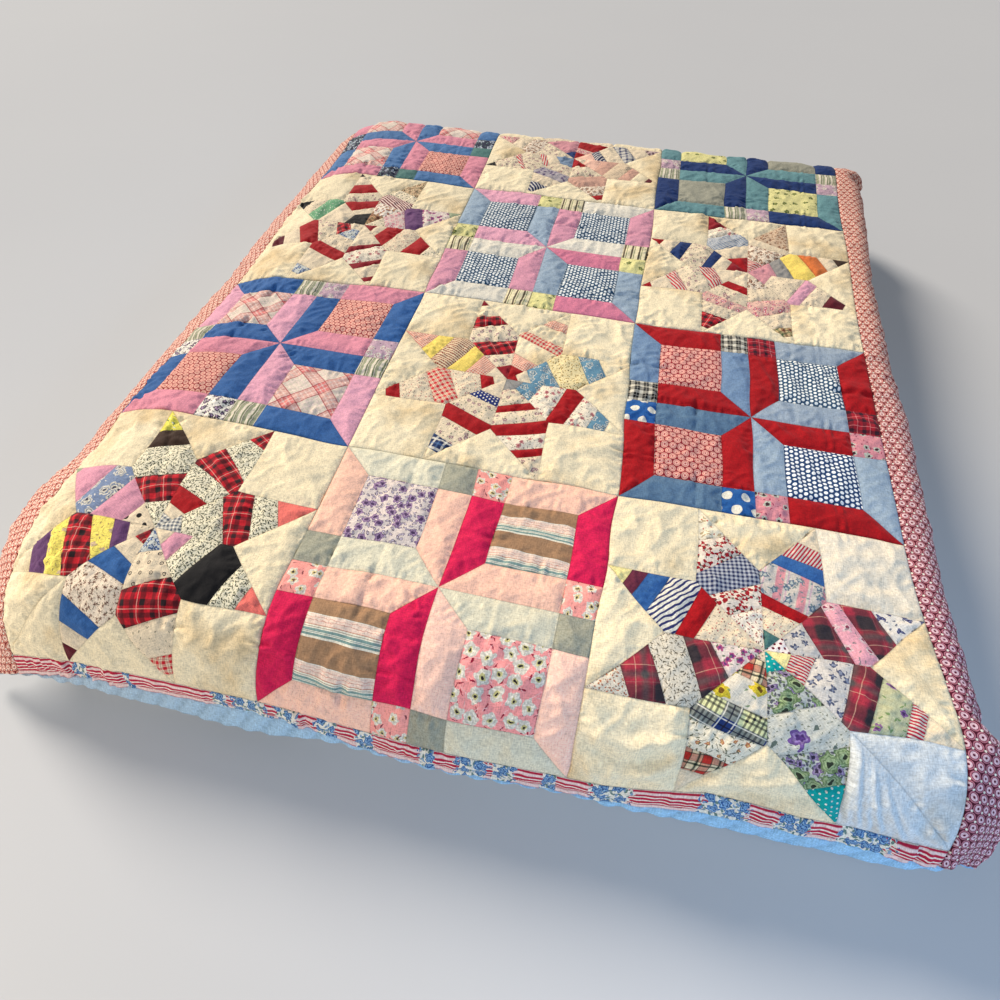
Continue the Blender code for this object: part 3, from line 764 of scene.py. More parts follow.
SCRAPS = {
    # plain dyes
    "muslin": (MUSLIN,),
    # Two muslins tinted paler and bluer: painted cool light for the squares at the near right corner
    "washed muslin": (dye(234, 222, 202),),
    "bleached muslin": (dye(212, 216, 218),),
    "cream": (CREAM,),
    "black": (BLACK,),
    "dark brown": (dye(62, 42, 32),),
    "coral": (dye(238, 118, 108),),
    "mauve pink": (dye(216, 150, 170),),
    "mauve": (dye(224, 162, 182),),
    "salmon pink": (dye(222, 142, 160),),
    "deep pink": (dye(214, 124, 150),),
    "peach": (dye(252, 200, 176),),
    "peach pink": (dye(255, 208, 188),),
    "crimson": (dye(214, 26, 80),),
    "pale aqua": (dye(226, 219, 194),),
    "off-white": (dye(230, 222, 206),),
    "sage": (dye(166, 164, 146), blotches(3, dye(144, 144, 126), 0.5, sharp=3)),
    "royal blue": (dye(50, 96, 156),),
    "cornflower": (dye(74, 116, 166),),
    "periwinkle": (dye(116, 142, 174),),
    "light blue": (dye(152, 170, 188),),
    "pale blue": (dye(150, 164, 180),),
    "mid blue": (dye(90, 120, 150),),
    "teal": (dye(100, 142, 148),),
    "deep navy": (dye(22, 50, 104),),
    "red": (RED,),
    "dark red": (dye(140, 18, 34),),
    "maroon": (dye(92, 20, 34),),
    "grey-green": (dye(150, 160, 130),),
    "grey-blue": (dye(126, 146, 172),),
    "grey": (dye(150, 146, 142),),
    "teal green": (dye(78, 120, 116),),
    "yellow": (dye(246, 216, 108),),
    "pale yellow": (dye(244, 228, 158),),
    "orange": (dye(216, 116, 58),),
    "plum": (dye(104, 40, 62),),
    "pink": (dye(212, 146, 154),),
    "tan salmon": (dye(212, 164, 144),),
    "tan": (dye(156, 154, 138), blotches(2.5, dye(142, 142, 128), 0.5, sharp=3)),
    "purple": (dye(106, 66, 108), stripes(3.2, (0.5, 0.4, dye(98, 62, 108)))),
    # woven checks and stripes
    "red tartan": (
        dye(204, 26, 42),
        tartan(36, (0.24, 0.24, dye(34, 18, 24)), (0.74, 0.20, dye(52, 22, 30)), blur=0.03),
        tartan(36, (0.49, 0.035, dye(236, 170, 154)), strength=0.75),
    ),
    "plum tartan": (
        dye(166, 48, 66),
        tartan(66, (0.26, 0.36, dye(52, 44, 50)), (0.64, 0.14, dye(84, 78, 78)), blur=0.09),
        tartan(66, (0.84, 0.013, dye(232, 190, 160)), (0.48, 0.008, dye(150, 120, 110)), strength=0.6),
    ),
    "red gingham": (CREAM, gingham(11, dye(206, 26, 44)), tartan(11, (0.0, 0.06, dye(150, 16, 30)))),
    "red check": (CREAM, gingham(9, dye(206, 36, 50))),
    "grey gingham": (WHITE, gingham(7, dye(90, 98, 112))),
    "navy gingham": (
        dye(184, 186, 194),
        tartan(7.5, (0.5, 0.5, dye(34, 44, 84)), blur=0.06, strength=0.55),
    ),
    "salmon check": (dye(238, 212, 188), gingham(5, dye(214, 116, 96))),
    "brown check": (
        dye(236, 214, 178),
        stripes(6, (0.5, 0.5, dye(146, 72, 56)), way="u"),
        stripes(6, (0.5, 0.16, dye(232, 200, 160))),
    ),
    "navy plaid": (
        dye(30, 46, 86),
        tartan(22, (0.5, 0.20, WHITE), strength=0.7, blur=0.03),
        tartan(22, (0.0, 0.16, dye(80, 112, 156)), strength=0.5),
    ),
    "white navy plaid": (dye(208, 202, 192), tartan(17, (0.4, 0.35, dye(40, 52, 96)), strength=0.55)),
    "rust plaid": (
        dye(226, 206, 170),
        tartan(30, (0.26, 0.40, dye(176, 44, 38)), (0.66, 0.14, dye(40, 80, 56)), strength=0.6),
        tartan(30, (0.66, 0.06, BLACK), (0.04, 0.05, dye(48, 26, 26)), (0.48, 0.04, dye(60, 28, 28)),
               strength=0.85),
    ),
    "yellow navy tartan": (
        dye(222, 222, 168),
        tartan(72, (0.28, 0.36, dye(30, 52, 108)), strength=0.68, blur=0.02),
        tartan(72, (0.56, 0.045, dye(20, 24, 36)), (0.66, 0.045, dye(20, 24, 36)),
               (0.76, 0.045, dye(20, 24, 36)), (0.86, 0.045, dye(20, 24, 36)),
               (0.96, 0.045, dye(20, 24, 36)), strength=0.72),
        tartan(72, (0.14, 0.022, WHITE), (0.28, 0.03, dye(16, 20, 44)), (0.42, 0.022, WHITE),
               strength=0.9),
    ),
    "brown plaid": (
        dye(196, 150, 110),
        tartan(22, (0.3, 0.3, dye(96, 48, 36)), (0.75, 0.1, dye(70, 90, 60))),
    ),
    "green brown plaid": (
        dye(206, 178, 132),
        tartan(20, (0.3, 0.3, dye(112, 60, 40)), (0.75, 0.2, dye(70, 96, 62))),
    ),
    "black check": (
        dye(222, 214, 196),
        tartan(19, (0.5, 0.58, dye(14, 14, 18)), strength=0.6, blur=0.03),
        tartan(19, (0.5, 0.08, WHITE), strength=0.25),
    ),
    "red black plaid": (
        dye(160, 26, 42),
        tartan(24, (0.3, 0.3, dye(46, 18, 34)), (0.75, 0.06, dye(224, 130, 130))),
    ),
    "pink plaid": (
        dye(220, 206, 188),
        slanted(42,
            tartan(74, (0.26, 0.34, dye(226, 126, 122)), strength=0.5),
            tartan(9.25, (0.5, 0.34, dye(240, 214, 204)), strength=0.45),
            tartan(74, (0.08, 0.030, dye(168, 48, 56)), (0.44, 0.030, dye(168, 48, 56)), strength=0.85)),
    ),
    "fine red stripe": (
        dye(214, 202, 190),
        wavy(0.8, 18, stripes(5.4, (0.5, 0.5, dye(180, 34, 58)), way="u")),
    ),
    "red white stripe": (dye(214, 204, 188), stripes(7, (0.5, 0.5, dye(200, 44, 60)))),
    "maroon stripe": (dye(238, 212, 198), stripes(7, (0.5, 0.5, dye(110, 24, 40)))),
    "beige stripe": (dye(228, 206, 176), stripes(4, (0.5, 0.3, dye(190, 158, 126)))),
    "fine blue stripe": (WHITE, stripes(4.5, (0.5, 0.5, dye(96, 124, 164)))),
    "navy slant stripe": (dye(212, 206, 196), slanted(40, stripes(9, (0.5, 0.62, dye(34, 42, 84))))),
    "grey stripe": (
        dye(226, 214, 194),
        wavy(1.5, 14,
            stripes(17, (0.3, 0.2, dye(122, 128, 98)), (0.7, 0.3, dye(160, 162, 132)),
                    (0.52, 0.06, dye(90, 92, 76)), way="u")),
    ),
    "dark stripe": (
        dye(234, 220, 182),
        wavy(1.5, 14,
            stripes(18, (0.3, 0.25, dye(92, 80, 62)), (0.62, 0.12, dye(146, 148, 108)), way="u")),
    ),
    "tan stripe": (
        dye(166, 128, 96),
        wavy(1.6, 60,
            stripes(72, (0.62, 0.27, dye(236, 228, 208)), (0.555, 0.05, dye(124, 152, 146)),
                    (0.605, 0.012, dye(124, 152, 146)), (0.655, 0.055, dye(130, 158, 152)),
                    (0.715, 0.012, dye(150, 130, 110)), (0.87, 0.22, dye(240, 212, 194)),
                    (0.765, 0.012, dye(206, 130, 104)), (0.985, 0.014, dye(240, 236, 220)), blur=0.006)),
        wavy(2.5, 9,
            stripes(72, (0.85, 0.012, dye(212, 150, 132)), (0.91, 0.010, dye(220, 160, 140)),
                    blur=0.004)),
    ),
    "pink wide stripe": (
        dye(202, 192, 182),
        stripes(38, (0.3, 0.36, dye(206, 140, 148)), (0.62, 0.05, dye(196, 160, 176)), way="u"),
        flowers(22, 7, (1, dye(112, 130, 150)), (0.4, dye(200, 206, 200)), share=0.75),
        leaves(11, 3.2, 1.3, dye(120, 136, 138), seed=84, share=0.7),
    ),
    # sprigs, leaves and small figures
    "green sprig": (
        dye(238, 228, 200),
        leaves(6.2, 2.6, 0.9, dye(74, 76, 58), seed=1),
        leaves(6.2, 1.6, 0.9, dye(58, 58, 48), seed=1, off=1.6),
        leaves(5, 1.2, 0.8, dye(136, 134, 104), seed=2),
    ),
    "brown sprig": (
        dye(244, 224, 200),
        flowers(9.5, 3.2, (1, dye(182, 146, 124)), (0.4, dye(120, 86, 70)), seed=3, curl=0.3),
        leaves(9.5, 2.0, 0.7, dye(104, 92, 70), seed=3, off=3.6),
        leaves(6, 1.0, 0.6, dye(170, 140, 116), seed=85),
    ),
    "grey sprig": (
        dye(222, 212, 194),
        leaves(7.5, 2.4, 0.8, dye(112, 104, 88), seed=4),
        leaves(7.5, 1.5, 0.9, dye(90, 84, 72), seed=4, off=1.9),
        leaves(6, 1.2, 0.7, dye(150, 140, 120), seed=86),
    ),
    "cream sprig": (CREAM, leaves(12, 2.2, 0.8, dye(140, 132, 110), seed=5, share=0.8)),
    "dark red sprig": (
        dye(236, 222, 204),
        leaves(7.5, 2.0, 0.9, dye(148, 44, 52), seed=6),
        leaves(7, 1.6, 0.6, dye(120, 110, 90), seed=89),
    ),
    "small sprig": (
        CREAM,
        leaves(9, 1.9, 0.7, dye(120, 104, 96), seed=7),
        leaves(11, 1.2, 0.9, dye(190, 60, 70), seed=8),
    ),
    "yellow sprig": (
        dye(236, 216, 164),
        leaves(8, 2.2, 1.0, dye(168, 130, 60), seed=9),
        leaves(9, 1.2, 1.0, dye(96, 84, 60), seed=10),
    ),
    "yellow green print": (
        dye(236, 224, 96),
        leaves(13, 3.4, 1.6, dye(112, 130, 70), seed=11),
        leaves(15, 2.2, 1.5, dye(238, 236, 220), seed=12),
    ),
    "yellow floral": (
        dye(244, 226, 110),
        rings(17, (6.0, dye(214, 184, 90)), (5.3, dye(244, 226, 110))),
        leaves(12, 2.6, 0.8, dye(166, 140, 90), seed=13),
        flowers(24, 5, (1, dye(226, 196, 160)), seed=14, share=0.6),
    ),
    "yellow print": (
        dye(222, 214, 148),
        flowers(30, 7, (1, dye(104, 116, 62)), (0.35, dye(168, 170, 90)), seed=15, share=0.75),
        leaves(22, 3.6, 1.3, dye(120, 128, 70), seed=16, share=0.5),
    ),
    "green dots": (dye(236, 218, 188), leaves(9, 1.6, 1.4, dye(44, 92, 64), seed=17)),
    "green flecks": (dye(108, 162, 120), leaves(9, 1.6, 0.8, WHITE, seed=18)),
    "leopard": (
        dye(206, 178, 150),
        leaves(9, 3.2, 2.0, dye(104, 58, 38), seed=19),
        leaves(9, 1.6, 1.0, dye(196, 146, 110), seed=19),
    ),
    "shell stripe": (WHITE, slanted(25, wavy(3, 22, stripes(8.5, (0.5, 0.42, dye(44, 50, 104)))))),
    # dots and rings
    "black dots": (CREAM, dots(22, 4.4, BLACK)),
    "ring dots": (
        CREAM,
        rings(20, (3.2, dye(52, 46, 44)), (1.9, CREAM), (0.8, dye(52, 46, 44))),
        leaves(21, 1.3, 0.4, dye(80, 72, 66), seed=20),
    ),
    "cream dots": (CREAM, dots(12, 1.2, dye(120, 100, 90))),
    "maroon dots": (dye(240, 226, 220), dots(9, 2.2, dye(110, 22, 50))),
    "navy dots": (dye(28, 44, 110), dots(8, 1.8, WHITE)),
    "big dots": (dye(36, 92, 160), dots(34, 9.0, WHITE)),
    "turquoise dots": (dye(0, 160, 158), dots(9, 1.5, WHITE)),
    "blue lattice": (dye(48, 80, 108), slanted(30, dots(10, 3.3, dye(240, 242, 240)))),
    "bright lattice": (dye(28, 62, 106), slanted(30, dots(10.5, 3.5, dye(242, 244, 246)))),
    "red rings": (
        dye(146, 26, 42),
        rings(16, (7.1, dye(226, 164, 150)), (4.8, dye(206, 92, 92)), (4.0, dye(240, 188, 172)),
              (1.7, dye(176, 44, 56))),
    ),
    "salmon rings": (
        dye(158, 44, 50),
        rings(13, (5.7, dye(238, 178, 160)), (2.2, dye(196, 84, 82)), (1.2, dye(240, 190, 170))),
    ),
    # flowered prints
    "cream floral": (
        CREAM,
        flowers(19, 4.6, (1, dye(176, 130, 134)), (0.4, dye(228, 206, 190)), seed=21, share=0.8),
        leaves(10, 2.2, 0.9, dye(126, 128, 104), seed=22, share=0.8),
    ),
    "cream pink floral": (
        dye(246, 230, 206),
        flowers(17, 5.2, (1, dye(226, 156, 152)), (0.4, dye(196, 104, 108)), seed=23, share=0.75),
        leaves(8, 2.4, 0.8, dye(140, 134, 116), seed=24, share=0.8),
    ),
    "cream leaf": (
        dye(240, 228, 202),
        leaves(14, 5.0, 1.4, dye(186, 164, 130), seed=25),
        leaves(12, 1.4, 1.2, dye(190, 90, 70), seed=26, share=0.6),
    ),
    "orange leaf": (
        dye(236, 222, 200),
        leaves(6.5, 1.7, 1.0, dye(196, 120, 84), seed=27),
        leaves(5.5, 1.5, 0.6, dye(140, 110, 90), seed=28),
    ),
    "orange flowers": (
        dye(228, 218, 196),
        flowers(19, 3.8, (1, dye(200, 124, 84)), (0.4, dye(226, 180, 120)), seed=29, share=0.6),
        leaves(17, 8.5, 0.45, dye(110, 98, 78), seed=30),
        leaves(10, 3.2, 0.9, dye(104, 106, 84), seed=87),
    ),
    "brown floral": (
        dye(234, 214, 192),
        flowers(13, 4.6, (1, dye(140, 92, 72)), (0.4, dye(220, 180, 150)), seed=31),
        leaves(8, 2.2, 0.9, dye(96, 84, 66), seed=32),
    ),
    "brown green floral": (
        dye(212, 180, 142),
        flowers(15, 5, (1, dye(100, 54, 38)), (0.4, dye(228, 196, 150)), seed=33),
        leaves(8, 2.6, 1.1, dye(70, 92, 56), seed=34),
    ),
    "blue floral": (
        dye(204, 206, 200),
        flowers(13, 5.2, (1, dye(78, 106, 156)), (0.4, dye(210, 220, 234)), seed=35),
        leaves(7, 1.8, 0.8, dye(60, 66, 88), seed=36, share=0.7),
    ),
    "blue white flowers": (
        dye(124, 140, 172),
        flowers(27, 10.5, (1.05, WHITE), (0.78, dye(124, 140, 172)), (0.62, WHITE),
                (0.3, dye(60, 60, 90)), seed=37, spread=0.8, lobes=7, curl=0.06),
        leaves(12, 2.4, 1.2, WHITE, seed=38, share=0.5),
    ),
    "blue ring floral": (
        dye(98, 140, 164),
        flowers(24, 8.2, (1.1, WHITE), (0.86, dye(98, 140, 164)), (0.4, WHITE), (0.25, dye(98, 140, 164)),
                seed=39, spread=0.9),
        leaves(11, 2.2, 0.7, WHITE, seed=40, share=0.6),
    ),
    "violet motifs": (
        dye(224, 216, 206),
        flowers(30, 7.5, (1, dye(82, 84, 128)), (0.55, dye(140, 146, 176)), (0.3, dye(60, 60, 100)),
                seed=41, spread=0.6, lobes=3, curl=0.25),
        leaves(15, 3.4, 1.3, dye(110, 114, 130), seed=42, share=0.6),
    ),
    "blue motifs": (
        dye(208, 200, 192),
        flowers(22, 6.0, (1, dye(88, 94, 122)), (0.4, dye(150, 156, 176)), seed=43, spread=0.7, lobes=4,
                curl=0.25),
        leaves(11, 3.0, 1.1, dye(110, 112, 124), seed=44, share=0.7),
    ),
    "red blossom": (
        dye(228, 212, 196),
        flowers(20, 10.2, (1, dye(172, 30, 42)), (0.3, dye(228, 212, 196)), seed=90, spread=0.5, lobes=4,
                curl=0.3),
        flowers(17, 3.4, (1, WHITE), (0.4, dye(90, 110, 70)), seed=45, share=0.6),
        leaves(12, 2.6, 0.9, dye(60, 70, 60), seed=46, share=0.7),
    ),
    "pink blossom": (
        dye(226, 160, 172),
        flowers(24, 8, (1, dye(240, 206, 206)), (0.4, dye(160, 70, 96)), seed=47),
        leaves(11, 3.2, 1.0, dye(140, 126, 130), seed=48, share=0.6),
    ),
    "yellow green floral": (
        dye(190, 190, 154),
        flowers(30, 7, (1, dye(160, 110, 166)), (0.4, dye(96, 60, 110)), seed=49, share=0.7),
        leaves(12, 3.6, 1.3, dye(124, 148, 96), seed=50, share=0.7),
    ),
    "green floral": (
        dye(186, 188, 182),
        leaves(7, 3.2, 1.7, dye(86, 88, 96), seed=51),
        leaves(8, 3.0, 1.4, dye(120, 136, 100), seed=88),
        flowers(20, 6.8, (1, dye(132, 110, 156)), (0.7, dye(160, 144, 180)), (0.4, dye(60, 50, 76)),
                seed=52, share=0.8),
        flowers(34, 15.0, (1, dye(112, 136, 94)), (0.8, dye(160, 180, 136)), (0.62, dye(116, 140, 98)),
                (0.5, dye(164, 184, 140)), (0.26, dye(50, 58, 44)), seed=53, spread=0.8, share=0.8,
                lobes=7, curl=0.10),
    ),
    "purple rose": (
        dye(208, 206, 194),
        leaves(9, 1.8, 0.7, dye(122, 126, 108), seed=54),
        leaves(30, 7, 3.4, dye(104, 116, 106), seed=55, share=0.4, off=9),
        flowers(64, 17, (1, dye(134, 98, 168)), (0.7, dye(164, 134, 192)), (0.46, dye(96, 62, 132)),
                seed=55, share=0.9),
    ),
    "pink purple floral": (
        dye(228, 210, 200),
        flowers(17, 6, (1, dye(196, 92, 140)), (0.4, dye(120, 60, 130)), seed=56),
        leaves(9, 2.6, 1.0, dye(104, 124, 100), seed=57, share=0.7),
    ),
    "yellow flower": (
        dye(226, 216, 198),
        flowers(48, 13, (1, dye(232, 206, 60)), (0.3, dye(130, 90, 30)), seed=58, share=0.8),
        leaves(16, 4, 1.1, dye(130, 150, 110), seed=59, share=0.5),
    ),
    "pink floral": (
        dye(226, 182, 166),
        flowers(15, 5, (1, dye(216, 98, 124)), (0.4, dye(250, 226, 220)), seed=60),
        leaves(9, 2.2, 0.8, dye(120, 110, 110), seed=61, share=0.7),
    ),
    "pink dot floral": (
        dye(218, 192, 184),
        flowers(14, 4.5, (1, dye(228, 110, 140)), (0.4, WHITE), seed=62),
    ),
    "mixed floral": (
        dye(248, 232, 214),
        flowers(12, 4.6, (1, dye(168, 74, 92)), (0.4, dye(226, 190, 110)), seed=63),
        leaves(7, 2, 0.8, dye(80, 110, 96), seed=64),
    ),
    "grey purple floral": (
        dye(174, 164, 168),
        flowers(16, 5.5, (1, dye(130, 112, 148)), (0.4, dye(80, 70, 100)), seed=65),
        leaves(9, 2.4, 0.9, dye(120, 122, 130), seed=66),
    ),
    "purple brown floral": (
        dye(206, 178, 176),
        flowers(15, 5.4, (1, dye(112, 72, 96)), (0.4, dye(70, 44, 52)), seed=67),
        leaves(8, 2.4, 1.0, dye(110, 92, 76), seed=68),
    ),
    "lavender floral": (
        dye(228, 212, 204),
        leaves(8.5, 4.0, 1.9, dye(84, 72, 92), seed=69, share=0.9),
        leaves(8.5, 2.7, 1.0, dye(204, 190, 206), seed=69, share=0.9),
        flowers(21, 8.2, (1, dye(150, 116, 158)), (0.72, dye(180, 150, 186)), (0.4, dye(92, 66, 106)),
                seed=70, share=0.8),
    ),
    "pink white flowers": (
        dye(252, 160, 158),
        leaves(15, 5.6, 1.1, dye(158, 26, 58), seed=71, share=0.85, off=4),
        leaves(12, 6.2, 0.5, dye(250, 204, 200), seed=72, share=0.8),
        flowers(28.5, 12.4, (1, dye(248, 240, 224)), (0.34, dye(226, 216, 150)), (0.17, dye(48, 40, 44)),
                seed=73, spread=0.62, lobes=5, curl=0.10),
    ),
    "small pink flowers": (
        dye(250, 162, 152),
        flowers(25, 9.4, (1, dye(248, 238, 220)), (0.42, dye(240, 216, 150)), (0.2, dye(70, 60, 60)),
                seed=74, spread=0.7, curl=0.10),
        leaves(15, 3.8, 1.0, dye(130, 60, 70), seed=75, share=0.5, off=3),
    ),
    "pink daisies": (
        dye(212, 138, 148),
        flowers(26, 7.2, (1, dye(200, 204, 190)), (0.4, dye(70, 44, 54)), seed=76, spread=0.7),
        leaves(12, 2.8, 1.0, dye(150, 50, 80), seed=77, share=0.7),
    ),
    "lilac flowers": (
        dye(192, 160, 174),
        flowers(25, 8.4, (1.05, WHITE), (0.55, dye(206, 130, 160)), (0.3, WHITE), seed=78, spread=0.7),
        leaves(12, 2.6, 1.0, dye(120, 100, 120), seed=79, share=0.5),
    ),
    "dark floral": (
        dye(240, 232, 220),
        flowers(13, 5, (1, dye(84, 70, 92)), (0.4, dye(190, 160, 190)), seed=80),
        leaves(8, 2.2, 0.9, dye(70, 72, 66), seed=81),
    ),
    "navy floral": (
        dye(52, 56, 76),
        flowers(22, 8, (1, dye(206, 214, 224)), (0.5, dye(70, 84, 120)), seed=82, spread=0.8),
        leaves(11, 2.4, 1.2, dye(130, 160, 150), seed=83, share=0.7),
    ),
}


# ---- The pieced top ------------------------------------------------------------------------------
# Twelve pieced blocks, three across and four down: string-pieced eight-pointed stars on muslin, turn
# about with blocks of four framed squares.  They are hand sewn, so every seam sinks a little and gathers
# the cloth beside it.

TIP_AT = 0.5 / cos(pi / 8)
INNER_AT = 1 - 0.5 ** 0.5
STRIP = 0.12

# Each star's eight points, from the head side round: the cloth of each band, and where it ends on the way
# from the tip (1) to the middle (0); a third number turns that cut, in degrees
POINTS = {"NNE": 22.5, "ENE": 67.5, "ESE": 112.5, "SSE": 157.5, "SSW": 202.5, "WSW": 247.5, "WNW": 292.5,
          "NNW": 337.5}
STARS = {
    (1, 2): {
        "NNW": (("muslin", .90), ("red", .80), ("cream floral", .45), ("pink", .15), ("deep navy", 0)),
        "NNE": (("muslin", .88), ("cream floral", .70), ("cream", .45), ("red", .25),
                ("pink floral", .15), ("red", 0)),
        "ENE": (("purple brown floral", .82), ("cream", .64), ("white navy plaid", .495), ("cream", .32),
                ("navy slant stripe", .215), ("peach", 0)),
        "ESE": (("muslin", .93), ("maroon", .87), ("muslin", .73), ("tan salmon", .61),
                ("beige stripe", .43), ("tan salmon", .29), ("peach", .13), ("cream", 0)),
        "SSE": (("muslin", .93), ("red", .84), ("brown floral", .64), ("tan salmon", .425),
                ("cream floral", .20), ("red", 0)),
        "SSW": (("muslin", .93), ("navy slant stripe", .735), ("cream", .56),
                ("grey purple floral", .385), ("cream floral", .20), ("grey-blue", 0)),
        "WSW": (("black", .88), ("cream floral", .62), ("red white stripe", .57), ("cream floral", .36),
                ("red white stripe", .30), ("cream", .18), ("grey-blue", 0)),
        "WNW": (("pink floral", .75), ("cream", .59), ("brown floral", .405), ("cream floral", 0)),
    },
    (2, 1): {
        "NNW": (("black", .93), ("cream", .77), ("red", .605), ("cream floral", .44), ("red", .29),
                ("cream", .20), ("black", 0)),
        "NNE": (("brown green floral", .70), ("green dots", .575), ("maroon stripe", .40),
                ("mixed floral", .20), ("brown plaid", 0)),
        "ENE": (("grey-green", .87), ("pink purple floral", .60), ("purple", .415),
                ("pink dot floral", .20), ("green dots", 0)),
        "ESE": (("green dots", .80), ("red", .625), ("small sprig", .40), ("red", .225), ("cream", .13),
                ("dark red", 0)),
        "SSE": (("muslin", .93), ("dark red", .865), ("cream", .695), ("dark red", .62),
                ("cream pink floral", .425), ("dark red", .355), ("cream", 0)),
        "SSW": (("muslin", .90), ("blue floral", .78), ("cream", .565), ("red", .43), ("cream dots", .25),
                ("blue floral", .10), ("cream", 0)),
        "WSW": (("muslin", .915), ("maroon", .79), ("cream", .63), ("red", .45), ("cream floral", .265),
                ("red tartan", .13), ("cream", 0)),
        "WNW": (("black", .805), ("cream dots", .64), ("green flecks", .455), ("cream", .20),
                ("black", 0)),
    },
    (2, 3): {
        "NNW": (("dark red", .76), ("cream pink floral", .62), ("fine blue stripe", .41), ("cream", .235),
                ("red", 0)),
        "NNE": (("leopard", .55), ("cream", .45), ("brown floral", .20), ("red white stripe", 0)),
        "ENE": (("dark brown", .86), ("cream", .73), ("orange", .58), ("yellow", .385), ("grey", .25),
                ("pink", 0)),
        "ESE": (("muslin", .90), ("maroon", .75), ("cream dots", .585), ("mauve", .47),
                ("cream dots", .20), ("pink", 0)),
        "SSE": (("muslin", .90), ("green brown plaid", .79), ("cream dots", .605), ("pink floral", .415),
                ("cream dots", .25), ("brown floral", .10), ("cream", 0)),
        "SSW": (("muslin", .93), ("red tartan", .73), ("cream dots", .58), ("pink floral", .46),
                ("cream floral", .31), ("red", .22), ("cream", 0)),
        "WSW": (("red", .91), ("cream sprig", .74), ("red white stripe", .63), ("cream floral", .405),
                ("red white stripe", .28), ("cream", 0)),
        "WNW": (("red", .88), ("cream", .73), ("deep navy", .61), ("cream floral", .39),
                ("deep navy", .30), ("cream", .18), ("dark red", 0)),
    },
    (3, 2): {
        "NNW": (("dark red", .92), ("muslin", .77), ("red tartan", .64), ("cream floral", .45),
                ("red tartan", .29), ("cream floral", .15), ("dark red", 0)),
        "NNE": (("muslin", .84), ("salmon check", .73), ("muslin", .57), ("red check", .475),
                ("muslin", .285), ("salmon check", .15), ("red", 0)),
        "ENE": (("muslin", .77), ("blue ring floral", .62), ("yellow sprig", .375),
                ("blue ring floral", .18), ("cream", .08), ("red", 0)),
        "ESE": (("muslin", .865), ("blue ring floral", .745), ("cream pink floral", .595), ("red", .45),
                ("cream pink floral", .26), ("blue ring floral", .12), ("grey", 0)),
        "SSE": (("cream floral", .79), ("red", .72), ("cream pink floral", .585), ("red", .47),
                ("cream floral", .35), ("red", .28), ("cream floral", .12), ("grey", 0)),
        "SSW": (("muslin", .90), ("navy plaid", .78), ("cream floral", .61), ("red", .47),
                ("cream floral", .30), ("navy dots", .21), ("cream", 0)),
        "WSW": (("muslin", .915), ("red", .81), ("small sprig", .585), ("red gingham", .41),
                ("small sprig", .20), ("red", .10), ("cream", 0)),
        "WNW": (("salmon check", .745), ("yellow", .615), ("brown check", .43), ("yellow", .305),
                ("salmon check", .155), ("cream", 0)),
    },
    (4, 1): {
        "NNW": (("yellow green print", .80), ("dark brown", .656), ("green sprig", .396),
                ("red tartan", .19), ("green sprig", 0)),
        "NNE": (("red tartan", .83), ("green sprig", .634, 20), ("red tartan", .46), ("green sprig", .30),
                ("red", .17), ("cream", .10), ("grey gingham", 0)),
        "ENE": (("coral", .755), ("green sprig", .60), ("red tartan", .42), ("green sprig", .16),
                ("grey gingham", 0)),
        "ESE": (("coral", .81), ("green sprig", .65), ("black", .41), ("green sprig", .25),
                ("mauve pink", .13), ("cream", 0)),
        "SSE": (("muslin", .93), ("red gingham", .795), ("cream sprig", .58), ("red tartan", .37),
                ("ring dots", .17), ("blue floral", 0)),
        "SSW": (("maroon", .855), ("cream", .73), ("royal blue", .60), ("brown sprig", .36),
                ("royal blue", .23), ("cream", .11), ("red tartan", 0)),
        "WSW": (("muslin", .80), ("purple", .66), ("yellow floral", .54), ("red tartan", .37),
                ("yellow floral", .25), ("purple", .155), ("cream sprig", 0)),
        "WNW": (("grey-green", .93), ("mauve pink", .60), ("blue white flowers", .40),
                ("mauve pink", .20), ("black dots", 0)),
    },
    (4, 3): {
        "NNW": (("cream leaf", .78), ("red blossom", .60, -15), ("navy gingham", .40),
                ("red blossom", .25), ("dark red sprig", 0)),
        "NNE": (("cream", .83), ("fine red stripe", .70), ("royal blue", .60), ("pink wide stripe", .35),
                ("red", .27), ("small sprig", .12), ("teal green", 0)),
        "ENE": (("violet motifs", .735), ("plum tartan", .57), ("pink blossom", .44),
                ("plum tartan", .28), ("blue motifs", .13), ("maroon dots", 0)),
        "ESE": (("cream", .82), ("fine red stripe", .74), ("yellow green floral", .575),
                ("plum tartan", .435), ("blue motifs", .24), ("fine red stripe", .13),
                ("pale yellow", 0)),
        "SSE": (("turquoise dots", .77), ("green floral", .575), ("purple rose", .355),
                ("green floral", .13), ("turquoise dots", 0)),
        "SSW": (("cream", .845), ("rust plaid", .71), ("orange flowers", .535),
                ("yellow navy tartan", .37), ("yellow flower", .21), ("rust plaid", .07),
                ("cream floral", 0)),
        "WSW": (("orange leaf", .79), ("plum tartan", .615), ("grey sprig", .415), ("plum tartan", .26),
                ("pink purple floral", 0)),
        "WNW": (("pale yellow", .86), ("plum", .77), ("royal blue", .645), ("shell stripe", .45),
                ("red", .34), ("small sprig", 0)),
    },
}
SPLIT_CORNERS = {(4, 1): "lower left", (4, 3): "lower right"}
# The near right corner's two squares are cut from the muslins with painted cool light
PAINTED_COOL_CORNERS = {((4, 3), "upper right"): "washed muslin", ((4, 3), "lower right"): "bleached muslin"}

